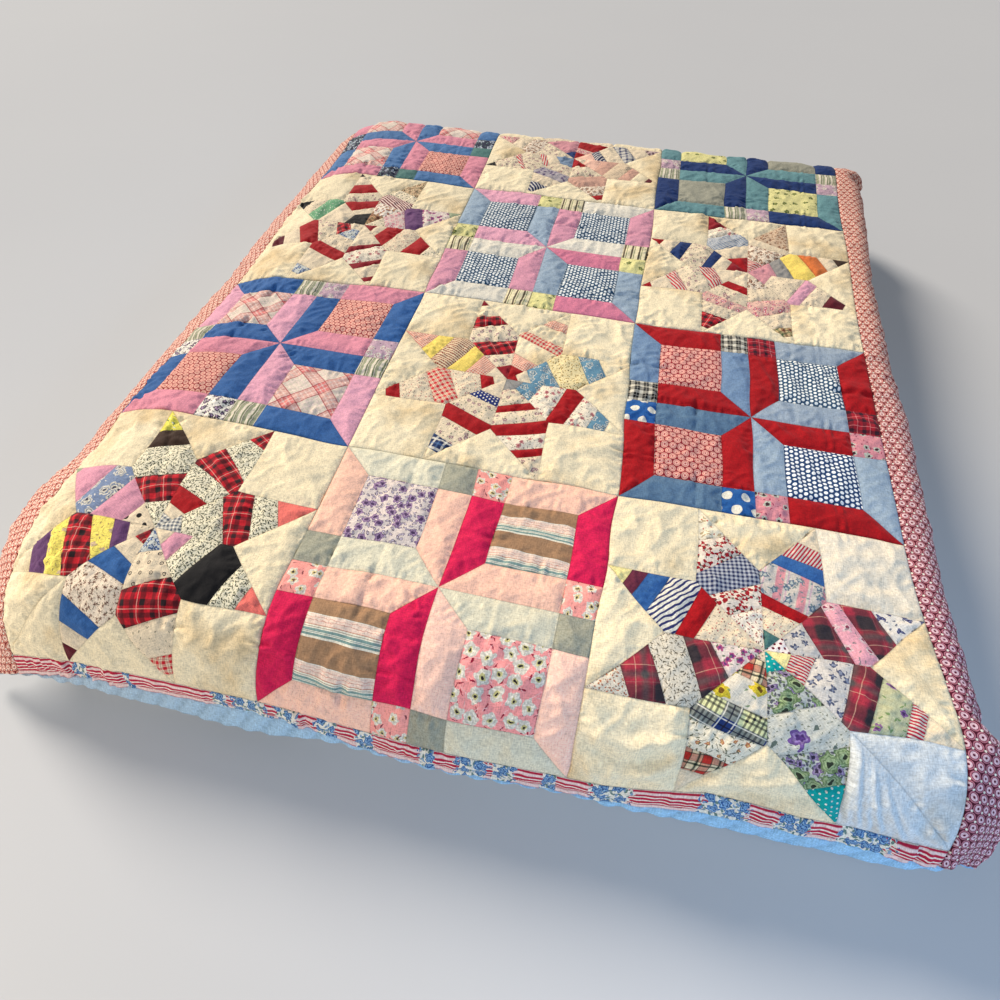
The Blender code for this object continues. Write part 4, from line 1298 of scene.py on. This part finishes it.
# Each framed block's quarters: the strips along its upper and lower sides, those along its other sides,
# the square in its middle, and the small squares at its ends
QUARTERS = {"upper left": (0, 0), "upper right": (1, 0), "lower left": (0, 1), "lower right": (1, 1)}
FRAMES = {
    (1, 1): {"upper left": ("cornflower", "salmon pink", "pink plaid", "navy floral"),
             "upper right": ("salmon pink", "cornflower", "pink plaid", "navy floral"),
             "lower left": ("salmon pink", "cornflower", "pink plaid", "navy floral"),
             "lower right": ("cornflower", "salmon pink", "salmon rings", "teal green")},
    (1, 3): {"upper left": ("deep navy", "teal", "yellow print", "lilac flowers"),
             "upper right": ("teal", "deep navy", "tan", "grey stripe"),
             "lower left": ("teal", "deep navy", "tan", "grey stripe"),
             "lower right": ("deep navy", "teal", "yellow print", "lilac flowers")},
    (2, 2): {"upper left": ("mauve", "light blue", "blue lattice", "yellow print"),
             "upper right": ("off-white", "mauve pink", "blue lattice", "dark stripe"),
             "lower left": ("off-white", "mauve pink", "blue lattice", "dark stripe"),
             "lower right": ("deep pink", "light blue", "blue lattice", "yellow print")},
    (3, 1): {"upper left": ("royal blue", "mauve", "pink plaid", "grey stripe"),
             "upper right": ("salmon pink", "royal blue", "salmon rings", "lilac flowers"),
             "lower left": ("salmon pink", "royal blue", "salmon rings", "dark floral"),
             "lower right": ("royal blue", "mauve", "pink plaid", "grey stripe")},
    (3, 3): {"upper left": ("red", "periwinkle", "red rings", "black check"),
             "upper right": ("pale blue", "red", "blue lattice", "red black plaid"),
             "lower left": ("mid blue", "red", "red rings", "big dots"),
             "lower right": ("red", "light blue", "bright lattice", "pink daisies")},
    (4, 2): {"upper left": ("pale aqua", "peach", "lavender floral", "sage"),
             "upper right": ("peach", "crimson", "tan stripe", "small pink flowers"),
             "lower left": ("peach", "crimson", "tan stripe", "small pink flowers"),
             "lower right": ("pale aqua", "peach pink", "pink white flowers", "sage")},
}

# One patch: its outline in the block as complex numbers (x across, y down), its cloth and how its grain
# lies
Patch = namedtuple("Patch", "outline scrap grain")


def cut(outline, through, towards):
    """The part of a flat outline on the side of a straight cut that an arrow points to."""
    sides = [((corner - through) * towards.conjugate()).real for corner in outline]
    kept = []
    for number, corner in enumerate(outline):
        last, side, before = outline[number - 1], sides[number], sides[number - 1]
        if (side > 1e-9) != (before > 1e-9):
            kept.append(last + (corner - last) * before / (before - side))
        if side > 1e-9:
            kept.append(corner)
    return kept


def turned_by(degrees, length=1.0):
    """An arrow in the block, by compass: 0 points to the head and 90 to the right."""
    return length * complex(sin(radians(degrees)), -cos(radians(degrees)))


def star_patches(place, chance):
    """The patches of a string-pieced star."""
    middle = 0.5 + 0.5j
    patches = []
    for name, heading in POINTS.items():
        rest = [middle, middle + turned_by(heading - 22.5, INNER_AT), middle + turned_by(heading, TIP_AT),
                middle + turned_by(heading + 22.5, INNER_AT)]
        for scrap, ends_at, *tilt in STARS[place][name]:
            outward = turned_by(heading + (tilt[0] if tilt else chance.uniform(-5, 5) * (ends_at > 0)))
            through = middle + turned_by(heading, TIP_AT * ends_at)
            outer = cut(rest, through, outward) if ends_at > 0 else rest
            rest = cut(rest, through, -outward)
            patches.append(Patch(outer, scrap, radians(heading + chance.uniform(-18, 18))))
    for quarter, (right, below) in QUARTERS.items():
        square = [complex(abs(right - x), abs(below - y)) for x, y in
                  ((0, 0), (INNER_AT, 0), (INNER_AT, INNER_AT), (0, INNER_AT))]
        ground = PAINTED_COOL_CORNERS.get((place, quarter), "muslin")
        if SPLIT_CORNERS.get(place) == quarter:
            patches += [Patch([square[0], square[1], square[2]], ground, 0.1),
                        Patch([square[0], square[2], square[3]], ground, 1.4)]
        else:
            patches.append(Patch(square, ground, chance.uniform(-0.05, 0.05)))
    for heading in (0, 90, 180, 270):
        base = [middle + turned_by(heading + side, TIP_AT) for side in (-22.5, 22.5)]
        patches.append(Patch([*base, middle + turned_by(heading, INNER_AT)], "muslin", radians(heading)))
    return patches


def frame_patches(place, chance):
    """The patches of a block of four framed squares."""
    inner = 0.5 - STRIP
    shapes = (
        (0, ((0, 0), (inner, 0), (inner, STRIP), (STRIP, STRIP))),
        (0, ((STRIP, inner), (inner, inner), (0.5, 0.5), (STRIP, 0.5))),
        (1, ((0, 0), (STRIP, STRIP), (STRIP, inner), (0, inner))),
        (1, ((inner, STRIP), (0.5, STRIP), (0.5, 0.5), (inner, inner))),
        (2, ((STRIP, STRIP), (inner, STRIP), (inner, inner), (STRIP, inner))),
        (3, ((inner, 0), (0.5, 0), (0.5, STRIP), (inner, STRIP))),
        (3, ((0, inner), (STRIP, inner), (STRIP, 0.5), (0, 0.5))),
    )
    patches = []
    for quarter, (right, below) in QUARTERS.items():
        for part, corners in shapes:
            outline = [complex(abs(right - x), abs(below - y)) for x, y in corners]
            patches.append(Patch(outline, FRAMES[place][quarter][part], chance.uniform(-0.03, 0.03)))
    return patches


def as_flat(outline):
    return np.array([(corner.real, corner.imag) for corner in outline])


def seams_between(patches):
    """Every length of seam between two crossings: the crossings, and the pairs of them that a seam joins."""
    crossings = np.unique(np.round(np.concatenate([as_flat(patch.outline) for patch in patches]), 6),
                          axis=0)
    pairs = set()
    for patch in patches:
        outline = as_flat(patch.outline)
        for start, end in zip(outline, np.roll(outline, -1, 0)):
            run = end - start
            share = (crossings - start) @ run / (run @ run)
            aside = np.abs((crossings - start) @ np.array([-run[1], run[0]])) / np.hypot(*run)
            on_it = np.flatnonzero((aside < 2e-5) & (share > -1e-4) & (share < 1 + 1e-4))
            on_it = on_it[np.argsort(share[on_it])]
            pairs |= {tuple(sorted(pair)) for pair in zip(on_it.tolist(), on_it[1:].tolist())}
    return crossings, sorted(pairs)


def from_seams(places, starts, ends):
    """How far places lie from the nearest seam, how far along it, and how much farther the next one is."""
    away = np.full(len(places), 9.0)
    next_away = away.copy()
    along = np.zeros(len(places))
    for start, end in zip(starts, ends):
        run = end - start
        length = np.hypot(*run)
        share = np.clip((places - start) @ run / length ** 2, 0, 1)
        distance = np.hypot(*(places - start - share[:, None] * run).T)
        nearer = distance < away
        next_away = np.where(nearer, away, np.minimum(next_away, distance))
        away = np.where(nearer, distance, away)
        along[nearer] = (places[nearer] @ run) / length
    return away, along, next_away - away


def honeycomb(size):
    """Places all over a unit square in staggered rows."""
    tall = int(1 / (size * 0.866)) + 1
    rows_ = [(x + (size / 2 if j % 2 else 0), (j + 0.5) / tall)
             for j in range(tall) for x in np.arange(size / 2, 1 - size / 2, size)]
    return np.array([place for place in rows_ if size * 0.3 < place[0] < 1 - size * 0.3])


def triangulate(places, pairs):
    """Triangles over flat places, each pair joined by an edge; counterclockwise with y running down."""
    flat, _, faces, origins, _, _ = delaunay_2d_cdt([Vector(place) for place in places.tolist()], pairs,
                                                    [], 0, 1e-7)
    flat = np.array([tuple(place) for place in flat])
    faces = np.array(faces)
    a, b, c = (flat[faces[:, k]] for k in range(3))
    area = (b[:, 0] - a[:, 0]) * (c[:, 1] - a[:, 1]) - (b[:, 1] - a[:, 1]) * (c[:, 0] - a[:, 0])
    faces = faces[np.abs(area) > 1e-12]
    area = area[np.abs(area) > 1e-12]
    faces[area > 0] = faces[area > 0][:, ::-1]
    return flat, faces, origins


def quartered(flat, faces):
    """The same triangles, each divided into four."""
    edges = np.sort(np.concatenate([faces[:, [0, 1]], faces[:, [1, 2]], faces[:, [2, 0]]]), axis=1)
    unique, number = np.unique(edges, axis=0, return_inverse=True)
    middles = (number.ravel() + len(flat)).reshape(3, -1)
    ab, bc, ca = middles
    a, b, c = faces.T
    finer = np.concatenate([np.stack(corner, 1) for corner in
                            ((a, ab, ca), (ab, b, bc), (ca, bc, c), (ab, bc, ca))])
    return np.concatenate([flat, flat[unique].mean(1)]), finer


PUFF = 0.0045
PUFF_REACH = 0.014
SEAM_SINKS = 0.0008
GATHER = 0.0092
GATHER_LENGTH = 0.0070
GATHER_REACH = 0.014
LOOSE = 0.0034
SEAM_DRIFT = 0.0032
UNDER_LIFT = -0.0028
LOWEST = -0.0016
SINK_REACH = 0.0022
GATHER_STARTS = 0.003
GATHER_ROOM = 0.008
GATHER_PATCHES = 0.07
LOOSE_BEND = 0.012
LOOSE_BEND_LENGTH = 0.06
LOOSE_STARTS = 0.010
DRIFT_FADE = 0.08
DRIFT_LENGTH = 0.09
CREASE_FADE = 0.25

# Creases, given one by one: where each starts and ends in columns and rows, how far its middle bows
# aside in blocks, its half width and its height in metres; troughs are below zero
Crease = namedtuple("Crease", "start end bow half_width height")
CREASES = (
    Crease((2.760, 3.74), (2.985, 3.88), -0.012, 0.010, 0.0045),
    Crease((2.850, 3.73), (2.990, 3.81), -0.010, 0.008, -0.0035),
    Crease((2.02, 3.815), (2.28, 3.80), 0.030, 0.012, 0.0065),
    Crease((2.02, 3.865), (2.28, 3.85), 0.030, 0.010, -0.0060),
    Crease((2.02, 3.915), (2.29, 3.90), 0.026, 0.010, 0.0060),
    Crease((2.02, 3.965), (2.29, 3.95), 0.018, 0.008, -0.0035),
    Crease((2.34, 3.965), (2.62, 3.87), 0.012, 0.010, 0.0050),
    Crease((2.36, 3.990), (2.66, 3.91), 0.010, 0.009, -0.0045),
    Crease((2.74, 3.10), (2.98, 3.06), 0.015, 0.013, 0.0030),
    Crease((2.72, 3.20), (2.99, 3.17), 0.010, 0.011, -0.0025),
    Crease((0.03, 3.80), (0.27, 3.74), 0.014, 0.012, 0.0035),
    Crease((0.05, 3.90), (0.27, 3.86), 0.010, 0.011, -0.0030),
    Crease((0.38, 3.84), (0.68, 3.90), -0.012, 0.011, 0.0035),
    Crease((0.36, 3.92), (0.66, 3.96), -0.010, 0.009, -0.0030),
    Crease((0.72, 3.80), (0.98, 3.84), 0.014, 0.013, 0.0035),
    Crease((0.73, 3.90), (0.98, 3.93), 0.010, 0.010, -0.0030),
    Crease((0.04, 3.06), (0.26, 3.20), 0.010, 0.012, 0.0030),
    Crease((0.74, 3.08), (0.97, 3.20), -0.012, 0.012, 0.0028),
    Crease((1.04, 2.10), (1.24, 2.24), 0.010, 0.012, 0.0030),
    Crease((1.76, 2.08), (1.95, 2.22), -0.010, 0.012, 0.0026),
    Crease((1.03, 2.80), (1.25, 2.90), 0.010, 0.012, 0.0030),
    Crease((1.74, 2.88), (1.96, 2.78), 0.012, 0.012, 0.0028),
    Crease((0.04, 1.20), (0.24, 1.08), 0.010, 0.012, 0.0026),
    Crease((0.76, 1.88), (0.96, 1.76), 0.010, 0.012, 0.0028),
    Crease((2.75, 1.78), (2.97, 1.94), 0.012, 0.012, 0.0034),
    Crease((2.76, 1.10), (2.98, 1.22), -0.012, 0.012, 0.0030),
    Crease((2.03, 1.80), (2.25, 1.92), 0.010, 0.012, 0.0026),
    # the fan of pleats at the near right corner
    *(Crease((2.712 + 0.55 * at, 3.724 + 0.66 * at), (2.724 + at, 3.994), bow, half_width, height)
      for at, bow, half_width, height in (
          (0.006, 0.006, 0.0045, 0.0065), (0.031, 0.012, 0.0040, 0.0095), (0.056, 0.010, 0.0050, 0.0075),
          (0.090, 0.015, 0.0045, 0.0100), (0.116, 0.010, 0.0055, 0.0060), (0.150, 0.016, 0.0045, 0.0085),
          (0.176, 0.008, 0.0050, 0.0055), (0.212, 0.010, 0.0060, 0.0060))),
)


def creases(column, row):
    """How far the listed creases lift the cloth."""
    total = np.zeros(np.shape(column))
    for crease in CREASES:
        (x0, y0), (x1, y1) = crease.start, crease.end
        run = np.hypot(x1 - x0, y1 - y0)
        share = ((column - x0) * (x1 - x0) + (row - y0) * (y1 - y0)) / run ** 2
        aside = ((column - x0) * (y1 - y0) - (row - y0) * (x1 - x0)) / run
        aside = aside + crease.bow * (1 - (2 * np.clip(share, 0, 1) - 1) ** 2)
        fade = ease(share / CREASE_FADE + 0.2) * ease((1 - share) / CREASE_FADE + 0.2)
        total += crease.height * fade * np.exp(-(aside * BLOCK / crease.half_width) ** 2)
    return total


def crumple(x, y, length, seed):
    """Uneven waves with sharper crests than their troughs, from -1 to 1."""
    return 1 - 2 * np.abs(ripple(x, y, length, seed)) ** 0.8


def relief(column, row, away, along, clear=1.0):
    """How far the quilted cloth stands off its skin, by its distances from the nearest two seams."""
    right, head = column * BLOCK, -row * BLOCK
    puff = PUFF * (1 - np.exp(-away / PUFF_REACH)) - SEAM_SINKS * np.exp(-(away / SINK_REACH) ** 2)
    gather = (GATHER * ripple(along, 0.3 * away, GATHER_LENGTH, 5) * (1 - np.exp(-away / GATHER_STARTS))
              * np.exp(-away / GATHER_REACH) * ease(clear / GATHER_ROOM)
              * np.clip(0.6 + 0.9 * ripple(right, head, GATHER_PATCHES, 6), 0.1, 1.2))
    bend = LOOSE_BEND * ripple(right, head, LOOSE_BEND_LENGTH, 13)
    loose = LOOSE * (crumple(right + 0.5 * head + bend, 0.8 * head, 0.046, 7)
                     + 0.55 * crumple(0.8 * right, head - 0.6 * right + bend, 0.024, 8)
                     + 0.25 * ripple(right, head, 0.0115, 9)) * (1 - np.exp(-away / LOOSE_STARTS))
    worn_flat = 0.70 + 0.30 * ease(row / 1.6)
    above = puff + (gather + loose) * worn_flat + creases(column, row) - LOWEST
    return LOWEST + 0.5 * (above + np.hypot(above, 0.001))


def drifted(column, row):
    """Places moved by the small drift of hand-sewn seams, which dies out at the field's own edges."""
    inside = np.minimum.reduce([column, COLUMNS - column, row, ROWS - row])
    by = SEAM_DRIFT / BLOCK * ease(inside / DRIFT_FADE)
    x, y = column * BLOCK, row * BLOCK
    return column + by * ripple(x, y, DRIFT_LENGTH, 11), row + by * ripple(x, y, DRIFT_LENGTH, 12)


FACE_SIZE = 0.0074 / BLOCK
UNDER_SIZE = 0.014 / BLOCK
fabric_of = {}


def fabric(scrap):
    """The material of a scrap, made when it is first sewn in."""
    if scrap not in fabric_of:
        fabric_of[scrap] = cloth_material(scrap, *SCRAPS[scrap], soil=0.55 if "muslin" in scrap else 0.0)
    return fabric_of[scrap]


def add_block(place):
    """One pieced block: its face on the seams, a plain underside and the thin edge between."""
    row_number, column_number = place
    chance = np.random.default_rng(row_number * 10 + column_number)
    patches = (star_patches if place in STARS else frame_patches)(place, chance)
    crossings, pairs = seams_between(patches)
    places, joined = [*map(tuple, crossings)], []
    for start, end in pairs:
        steps = max(1, ceil(np.hypot(*(crossings[end] - crossings[start])) / FACE_SIZE))
        chain = [start]
        for share in np.linspace(0, 1, steps + 1)[1:-1]:
            chain.append(len(places))
            places.append(tuple(crossings[start] + (crossings[end] - crossings[start]) * share))
        chain.append(end)
        joined += list(zip(chain, chain[1:]))
    starts, ends = (crossings[[pair[k] for pair in pairs]] for k in (0, 1))
    inner = honeycomb(FACE_SIZE)
    inner = inner[from_seams(inner, starts, ends)[0] > FACE_SIZE * 0.45]
    flat, faces, _ = triangulate(np.concatenate([places, inner]), joined)
    middles = flat[faces].mean(1)
    patch_of = np.zeros(len(faces), int)
    for number, patch in enumerate(patches):
        outline = as_flat(patch.outline)
        turns = []
        for start, end in zip(outline, np.roll(outline, -1, 0)):
            run = end - start
            arrow = middles - start
            turns.append(run[0] * arrow[:, 1] - run[1] * arrow[:, 0])
        turns = np.array(turns)
        patch_of[(turns > -1e-9).all(0) | (turns < 1e-9).all(0)] = number
    flat, faces = quartered(flat, faces)
    patch_of = np.tile(patch_of, 4)
    away, along, clear = (length * BLOCK for length in from_seams(flat, starts, ends))

    edges = np.concatenate([faces[:, [0, 1]], faces[:, [1, 2]], faces[:, [2, 0]]])
    ordered = np.sort(edges, 1)
    _, first, count = np.unique(ordered, axis=0, return_index=True, return_counts=True)
    rim = edges[first[count == 1]]
    rim_points = np.unique(rim)
    lookup = {point: number for number, point in enumerate(rim_points.tolist())}
    under_places = np.concatenate([flat[rim_points], honeycomb(UNDER_SIZE)])
    under_flat, under_faces, origins = triangulate(under_places,
                                                   [(lookup[a], lookup[b]) for a, b in rim.tolist()])
    below = {origin: number for number, group in enumerate(origins) for origin in group}

    inset = GAP / 2 / BLOCK

    def on_quilt(flat_places):
        column = np.clip(flat_places[:, 0] + column_number - 1, inset, COLUMNS - inset)
        row = np.clip(flat_places[:, 1] + row_number - 1, inset, ROWS - inset)
        return column, row

    column, row = on_quilt(flat)
    face = skin(*drifted(column, row), relief(column, row, away, along, clear))
    under_column, under_row = on_quilt(under_flat)
    under = skin(*drifted(under_column, under_row), np.full(len(under_flat), UNDER_LIFT))
    start = len(face)
    a, b = rim.T
    a_below, b_below = (np.array([below[lookup[point]] for point in end.tolist()]) + start
                        for end in (a, b))
    skirt = np.concatenate([np.stack([b, a, a_below], 1), np.stack([b, a_below, b_below], 1)])
    triangles = np.concatenate([faces, under_faces[:, ::-1] + start, skirt])
    flat_all = np.concatenate([flat, under_flat])
    scraps = sorted({patch.scrap for patch in patches})
    patch_of = np.concatenate([patch_of, np.full(len(under_faces) + len(skirt), -1)])
    turn = np.array([patch.grain for patch in patches] + [0.0])[patch_of][:, None]
    slip = chance.uniform(0, 1, (len(patches) + 1, 2))[patch_of][:, None]
    corners = (flat_all * [BLOCK, -BLOCK])[triangles]
    cloth_uv = np.stack([corners[..., 0] * np.cos(turn) - corners[..., 1] * np.sin(turn),
                         corners[..., 0] * np.sin(turn) + corners[..., 1] * np.cos(turn)], -1) + slip
    quilt_uv = corners + [(column_number - 1) * BLOCK, -(row_number - 1) * BLOCK]
    look_of = np.array([scraps.index(patch.scrap) for patch in patches] + [0])[patch_of]
    shade = np.append(chance.uniform(0.94, 1.03, len(patches)), 0.9)[patch_of]
    # The face's distance from the seams goes in as its seam, which paints shade along them
    piece = add_mesh(f"block_{row_number}_{column_number}", np.concatenate([face, under]), triangles,
                     cloth_uv, quilt_uv,
                     seam=np.concatenate([away, np.full(len(under), 0.02)]), shade=shade,
                     flat=np.arange(len(triangles)) >= len(faces) + len(under_faces),
                     looks=[fabric(scrap) for scrap in scraps], look_of=look_of)
    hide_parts("quilt_top")


for row_number in range(1, ROWS + 1):
    for column_number in range(1, COLUMNS + 1):
        add_block((row_number, column_number))


# ---- The side borders ----------------------------------------------------------------------------
# A strip of red cotton printed with pale rings, sewn down each long side; on the right one, painted cool
# shade turns the print darker and plum towards the foot.  Its outer edge is turned over the backing and
# hemmed, which draws it into small waves.

HEM_AT = 0.009
HEM_ROLL = 0.0025
HEM_WAVE = 0.0013
HEM_WAVE_LENGTH = 0.055
WAVE_SHIFTS_OVER = 0.2
THINNEST = 0.0006
END_SHARE = 0.6
RING_PITCH = 16.4


def rolled(from_edge):
    """How far the cloth turns down where it rolls over its own edge."""
    return HEM_ROLL * (np.sqrt(1 - (1 - np.clip(from_edge / HEM_ROLL, 0, 1)) ** 2) - 1)


def hem_wave(along, height, seed):
    """The small uneven waves along a hem."""
    shift = 2 * ripple(along, 0 * along, WAVE_SHIFTS_OVER, seed)
    return height * np.sin(tau * along / HEM_WAVE_LENGTH + shift)


def border_sheet(name, column, row, lift, away, cotton):
    """A border's cloth, kept clear of its own underside."""
    under = np.full(column.shape, UNDER_LIFT)
    # away goes in as the seam, which paints shade along the join and along the hem's stitching
    return sheet(name, column, row, np.maximum(lift, UNDER_LIFT + THINNEST), under, cotton, seam=away)


def ring_print(ground, *discs):
    """Staggered discs, each a ring within a ring, with small white dots between them."""
    discs = rings(RING_PITCH, *zip((7.4, 5.8, 4.9, 1.8), discs))

    def lay(cloth, colour):
        between = Cloth(cloth.u + RING_PITCH / 2, cloth.v + 0.29 * RING_PITCH, cloth.spot)
        return (on_lattice(between, RING_PITCH) < 1.8).mix(discs(cloth, ground), WHITE)
    return lay


redder_print = ring_print(dye(124, 22, 28), dye(224, 156, 136), dye(164, 50, 48), dye(240, 206, 188),
                          dye(156, 44, 46))
# A darker, plum copy of the print: painted cool shade for the right strip's foot end
cool_shade_print = ring_print(dye(76, 6, 32), dye(180, 110, 124), dye(106, 20, 50), dye(220, 182, 190),
                           dye(90, 14, 44))


def cool_shade_to_the_foot(cloth, colour):
    """Painted cool shade: the right strip's print turns darker and plum towards the foot."""
    near_foot = (cloth.v * (-1 / 900)).maths("SUBTRACT", 0.9, clamp=True)
    return near_foot.mix(redder_print(cloth, colour), cool_shade_print(cloth, colour))


redder_cotton = cloth_material("red cotton with pale rings", RED, redder_print, mottle=0.1)
cool_shaded_cotton = cloth_material("red cotton with painted cool shade to the foot", RED, cool_shade_to_the_foot, mottle=0.1)


def side_border(name, node, first, last, outer, cotton):
    """One long side's border; outer is the column of its hem."""
    near_hem = np.array([0.0, 0.0006, 0.0015, 0.0030, 0.0050]) / BLOCK
    inner = np.linspace(first, last, 26)
    hem_side = last - near_hem if outer == last else first + near_hem
    keep = np.abs(inner - outer) > 0.007 / BLOCK
    columns = np.sort(np.concatenate([inner[keep], hem_side]))
    rows = lines_between(-END_BLOCKS + GAP, ROWS + END_BLOCKS - GAP, 0.0048)
    column, row = np.meshgrid(columns, rows)
    from_hem = np.abs(column - outer) * BLOCK
    from_end = np.minimum(row + END_BLOCKS, ROWS + END_BLOCKS - row) * BLOCK
    from_join = SIDE_BORDER - from_hem
    away = np.minimum(from_join, np.abs(from_hem - HEM_AT))
    roll = rolled(np.minimum(from_hem, from_end))
    wave = hem_wave(row * BLOCK, HEM_WAVE, 31)
    lift = 0.6 * relief(column, row, away, row * BLOCK) + roll + wave * np.exp(-from_hem / 0.03)
    piece = border_sheet(name, column, row, lift, away, cotton)
    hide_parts(node)


inset = GAP / 2 / BLOCK
side_border("border_left_cloth", "border_left", -SIDE_BLOCKS + inset, -inset, -SIDE_BLOCKS + inset,
            redder_cotton)
side_border("border_right_cloth", "border_right", COLUMNS + inset, COLUMNS + SIDE_BLOCKS - inset,
            COLUMNS + SIDE_BLOCKS - inset, cool_shaded_cotton)


# ---- The end borders -----------------------------------------------------------------------------
# A narrow strip of crimson and cream striped cotton across each end.  Its stripes run lengthwise and stop
# at sprays of blue roses with grey-green leaves.

RAGGED = 0.13

# Where the sprays stand along the strip, in blocks, and half of each one's length in metres
SPRAYS = (
    (0.34, 0.016), (0.52, 0.008), (0.86, 0.014), (0.97, 0.034), (1.10, 0.020), (1.23, 0.018),
    (1.36, 0.016), (1.57, 0.014), (1.71, 0.026), (1.81, 0.018), (1.95, 0.012), (2.13, 0.030),
    (2.43, 0.034), (2.61, 0.022), (2.79, 0.036),
)


def sprays(cloth, colour):
    """White ground with blue roses and leaves, wherever a spray stands."""
    ground = WHITE
    for lay in (leaves(9, 4.4, 1.7, dye(104, 130, 122), seed=91),
                leaves(10, 3.4, 1.8, dye(130, 158, 186), seed=92),
                flowers(20, 9.6, (1, dye(74, 120, 176)), (0.74, dye(150, 190, 222)),
                        (0.56, dye(60, 100, 160)),
                        (0.3, dye(130, 170, 210)), seed=93, spread=0.75)):
        ground = lay(cloth, ground)
    ragged = cloth.spot.noise(RAGGED, 2)
    mask = None
    for at, half in SPRAYS:
        apart = (cloth.u - at * BLOCK * MILLIMETRES).maths("ABSOLUTE") * (1 / half / MILLIMETRES)
        here = (apart + (ragged - 0.5) * 1.2) < 0.95
        mask = here if mask is None else mask.maths("MAXIMUM", here)
    return mask.mix(colour, ground)


rose_stripe = cloth_material(
    "rose stripe", dye(184, 30, 62),
    wavy(0.8, 30, stripes(6.9, (0.5, 0.33, dye(240, 224, 212)), blur=0.10),
         stripes(27.6, (0.14, 0.16, dye(236, 206, 200)), blur=0.05)),
    sprays, mottle=0.1)


def end_border(name, node, first, last, outer):
    """One end's border; outer is the row of its hem."""
    columns = lines_between(inset, COLUMNS - inset, 0.0036)
    rows = np.linspace(first, last, 14)
    near_hem = np.array([0.0006, 0.0015]) / BLOCK
    rows = np.sort(np.concatenate([rows, last - near_hem if outer == last else first + near_hem]))
    column, row = np.meshgrid(columns, rows)
    from_hem = np.abs(row - outer) * BLOCK
    away = np.minimum(END_BORDER - from_hem, np.abs(from_hem - HEM_AT * END_SHARE))
    away = np.minimum(away, np.minimum(column, COLUMNS - column) * BLOCK)
    roll = rolled(from_hem)
    wave = hem_wave(column * BLOCK, HEM_WAVE * END_SHARE, 33)
    lift = relief(column, row, away, column * BLOCK) + roll + wave * np.exp(-from_hem / 0.02)
    piece = border_sheet(name, column, row, lift, away, rose_stripe)
    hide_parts(node)


end_border("border_foot_cloth", "border_foot", ROWS + inset, ROWS + END_BLOCKS - inset,
           ROWS + END_BLOCKS - inset)
end_border("border_head_cloth", "border_head", -END_BLOCKS + inset, -inset, -END_BLOCKS + inset)


# ---- Floor, light and camera ---------------------------------------------------------------------
# A plain pale floor under a pale sky.  A warm sun stands beyond the far left corner, a strongly blue spot
# falls on the near right corner, and a small warm disc of light stands before the near left one.

FLOOR_GREY = dye(196, 197, 201)
FLOOR_CLOUD = dye(206, 206, 208)
FLOOR_HALF = 7.0
SKY = (0.86, 0.92, 1.0, 1)
SKY_STRENGTH = 0.34
WARM_WHITE = (1.0, 0.92, 0.80)
BLUE_LIGHT = (0.34, 0.62, 1.0)
LAMP_WHITE = (1.0, 0.90, 0.74)
SUN_SPREAD = 20
SPOT_SPREAD = 46
SPOT_RADIUS = 0.35
DISC_WIDTH = 0.9
CAMERA_FROM_FACE = (0.188, -1.189, 0.861)
CAMERA_AZIMUTH = -12.09
CAMERA_DOWN = 53.65
CAMERA_ROLL = 0.47
CAMERA_LENS = 21.5

floor_material = bpy.data.materials.new("pale floor")
floor_material.use_nodes = True
tree = floor_material.node_tree
shader = tree.nodes["Principled BSDF"]
here = Thread(tree).node("TexCoord", out="Object")
clouds = here.node("TexNoise", {}, {"Vector": here, "Scale": 1.4, "Detail": 5})
tree.links.new((clouds * 0.3).mix(FLOOR_GREY, FLOOR_CLOUD).socket, shader.inputs["Base Color"])
shader.inputs["Roughness"].default_value = 0.9
bpy.ops.mesh.primitive_grid_add(x_subdivisions=8, y_subdivisions=8, size=2 * FLOOR_HALF)
floor = bpy.context.object
floor.name = "floor"
floor.data.materials.append(floor_material)

world = bpy.data.worlds.new("pale sky")
bpy.context.scene.world = world
world.use_nodes = True
background = world.node_tree.nodes["Background"]
background.inputs["Color"].default_value = SKY
background.inputs["Strength"].default_value = SKY_STRENGTH


def add_light(name, kind, energy, colour, place, aim):
    """A light at a place, turned to what it aims at; returns its lamp."""
    lamp = bpy.data.lights.new(name, kind)
    lamp.energy = energy
    lamp.color = colour
    light = bpy.data.objects.new(name, lamp)
    light.location = place
    light.rotation_euler = (Vector(aim) - light.location).to_track_quat("-Z", "Y").to_euler()
    bpy.context.scene.collection.objects.link(light)
    return lamp


sun = add_light("warm_light", "SUN", 4.0, WARM_WHITE, (-2.6, 2.2, 2.05), (0, 0, 0))
sun.angle = radians(SUN_SPREAD)
spot = add_light("cool_light", "SPOT", 190, BLUE_LIGHT, (2.4, -2.6, 1.5), (0.70, -0.95, 0.15))
spot.spot_size = radians(SPOT_SPREAD)
spot.spot_blend = 1.0
spot.shadow_soft_size = SPOT_RADIUS
disc = add_light("near_light", "AREA", 24, LAMP_WHITE, (-1.8, -2.5, 0.9), (-0.5, -1.0, 0.2))
disc.shape = "DISK"
disc.size = DISC_WIDTH

camera = bpy.data.objects.new("camera", bpy.data.cameras.new("camera"))
camera.data.lens = CAMERA_LENS
camera.data.sensor_width = 36
camera.data.clip_start = 0.02
camera.matrix_world = (Matrix.Translation(Vector(CAMERA_FROM_FACE) + Vector((*SHIFT[:2], FACE_HEIGHT)))
                       @ Matrix.Rotation(radians(-CAMERA_AZIMUTH), 4, "Z")
                       @ Matrix.Rotation(radians(90 - CAMERA_DOWN), 4, "X")
                       @ Matrix.Rotation(radians(CAMERA_ROLL), 4, "Z"))
bpy.context.scene.collection.objects.link(camera)
bpy.context.scene.camera = camera
bpy.context.scene.view_settings.view_transform = "Standard"
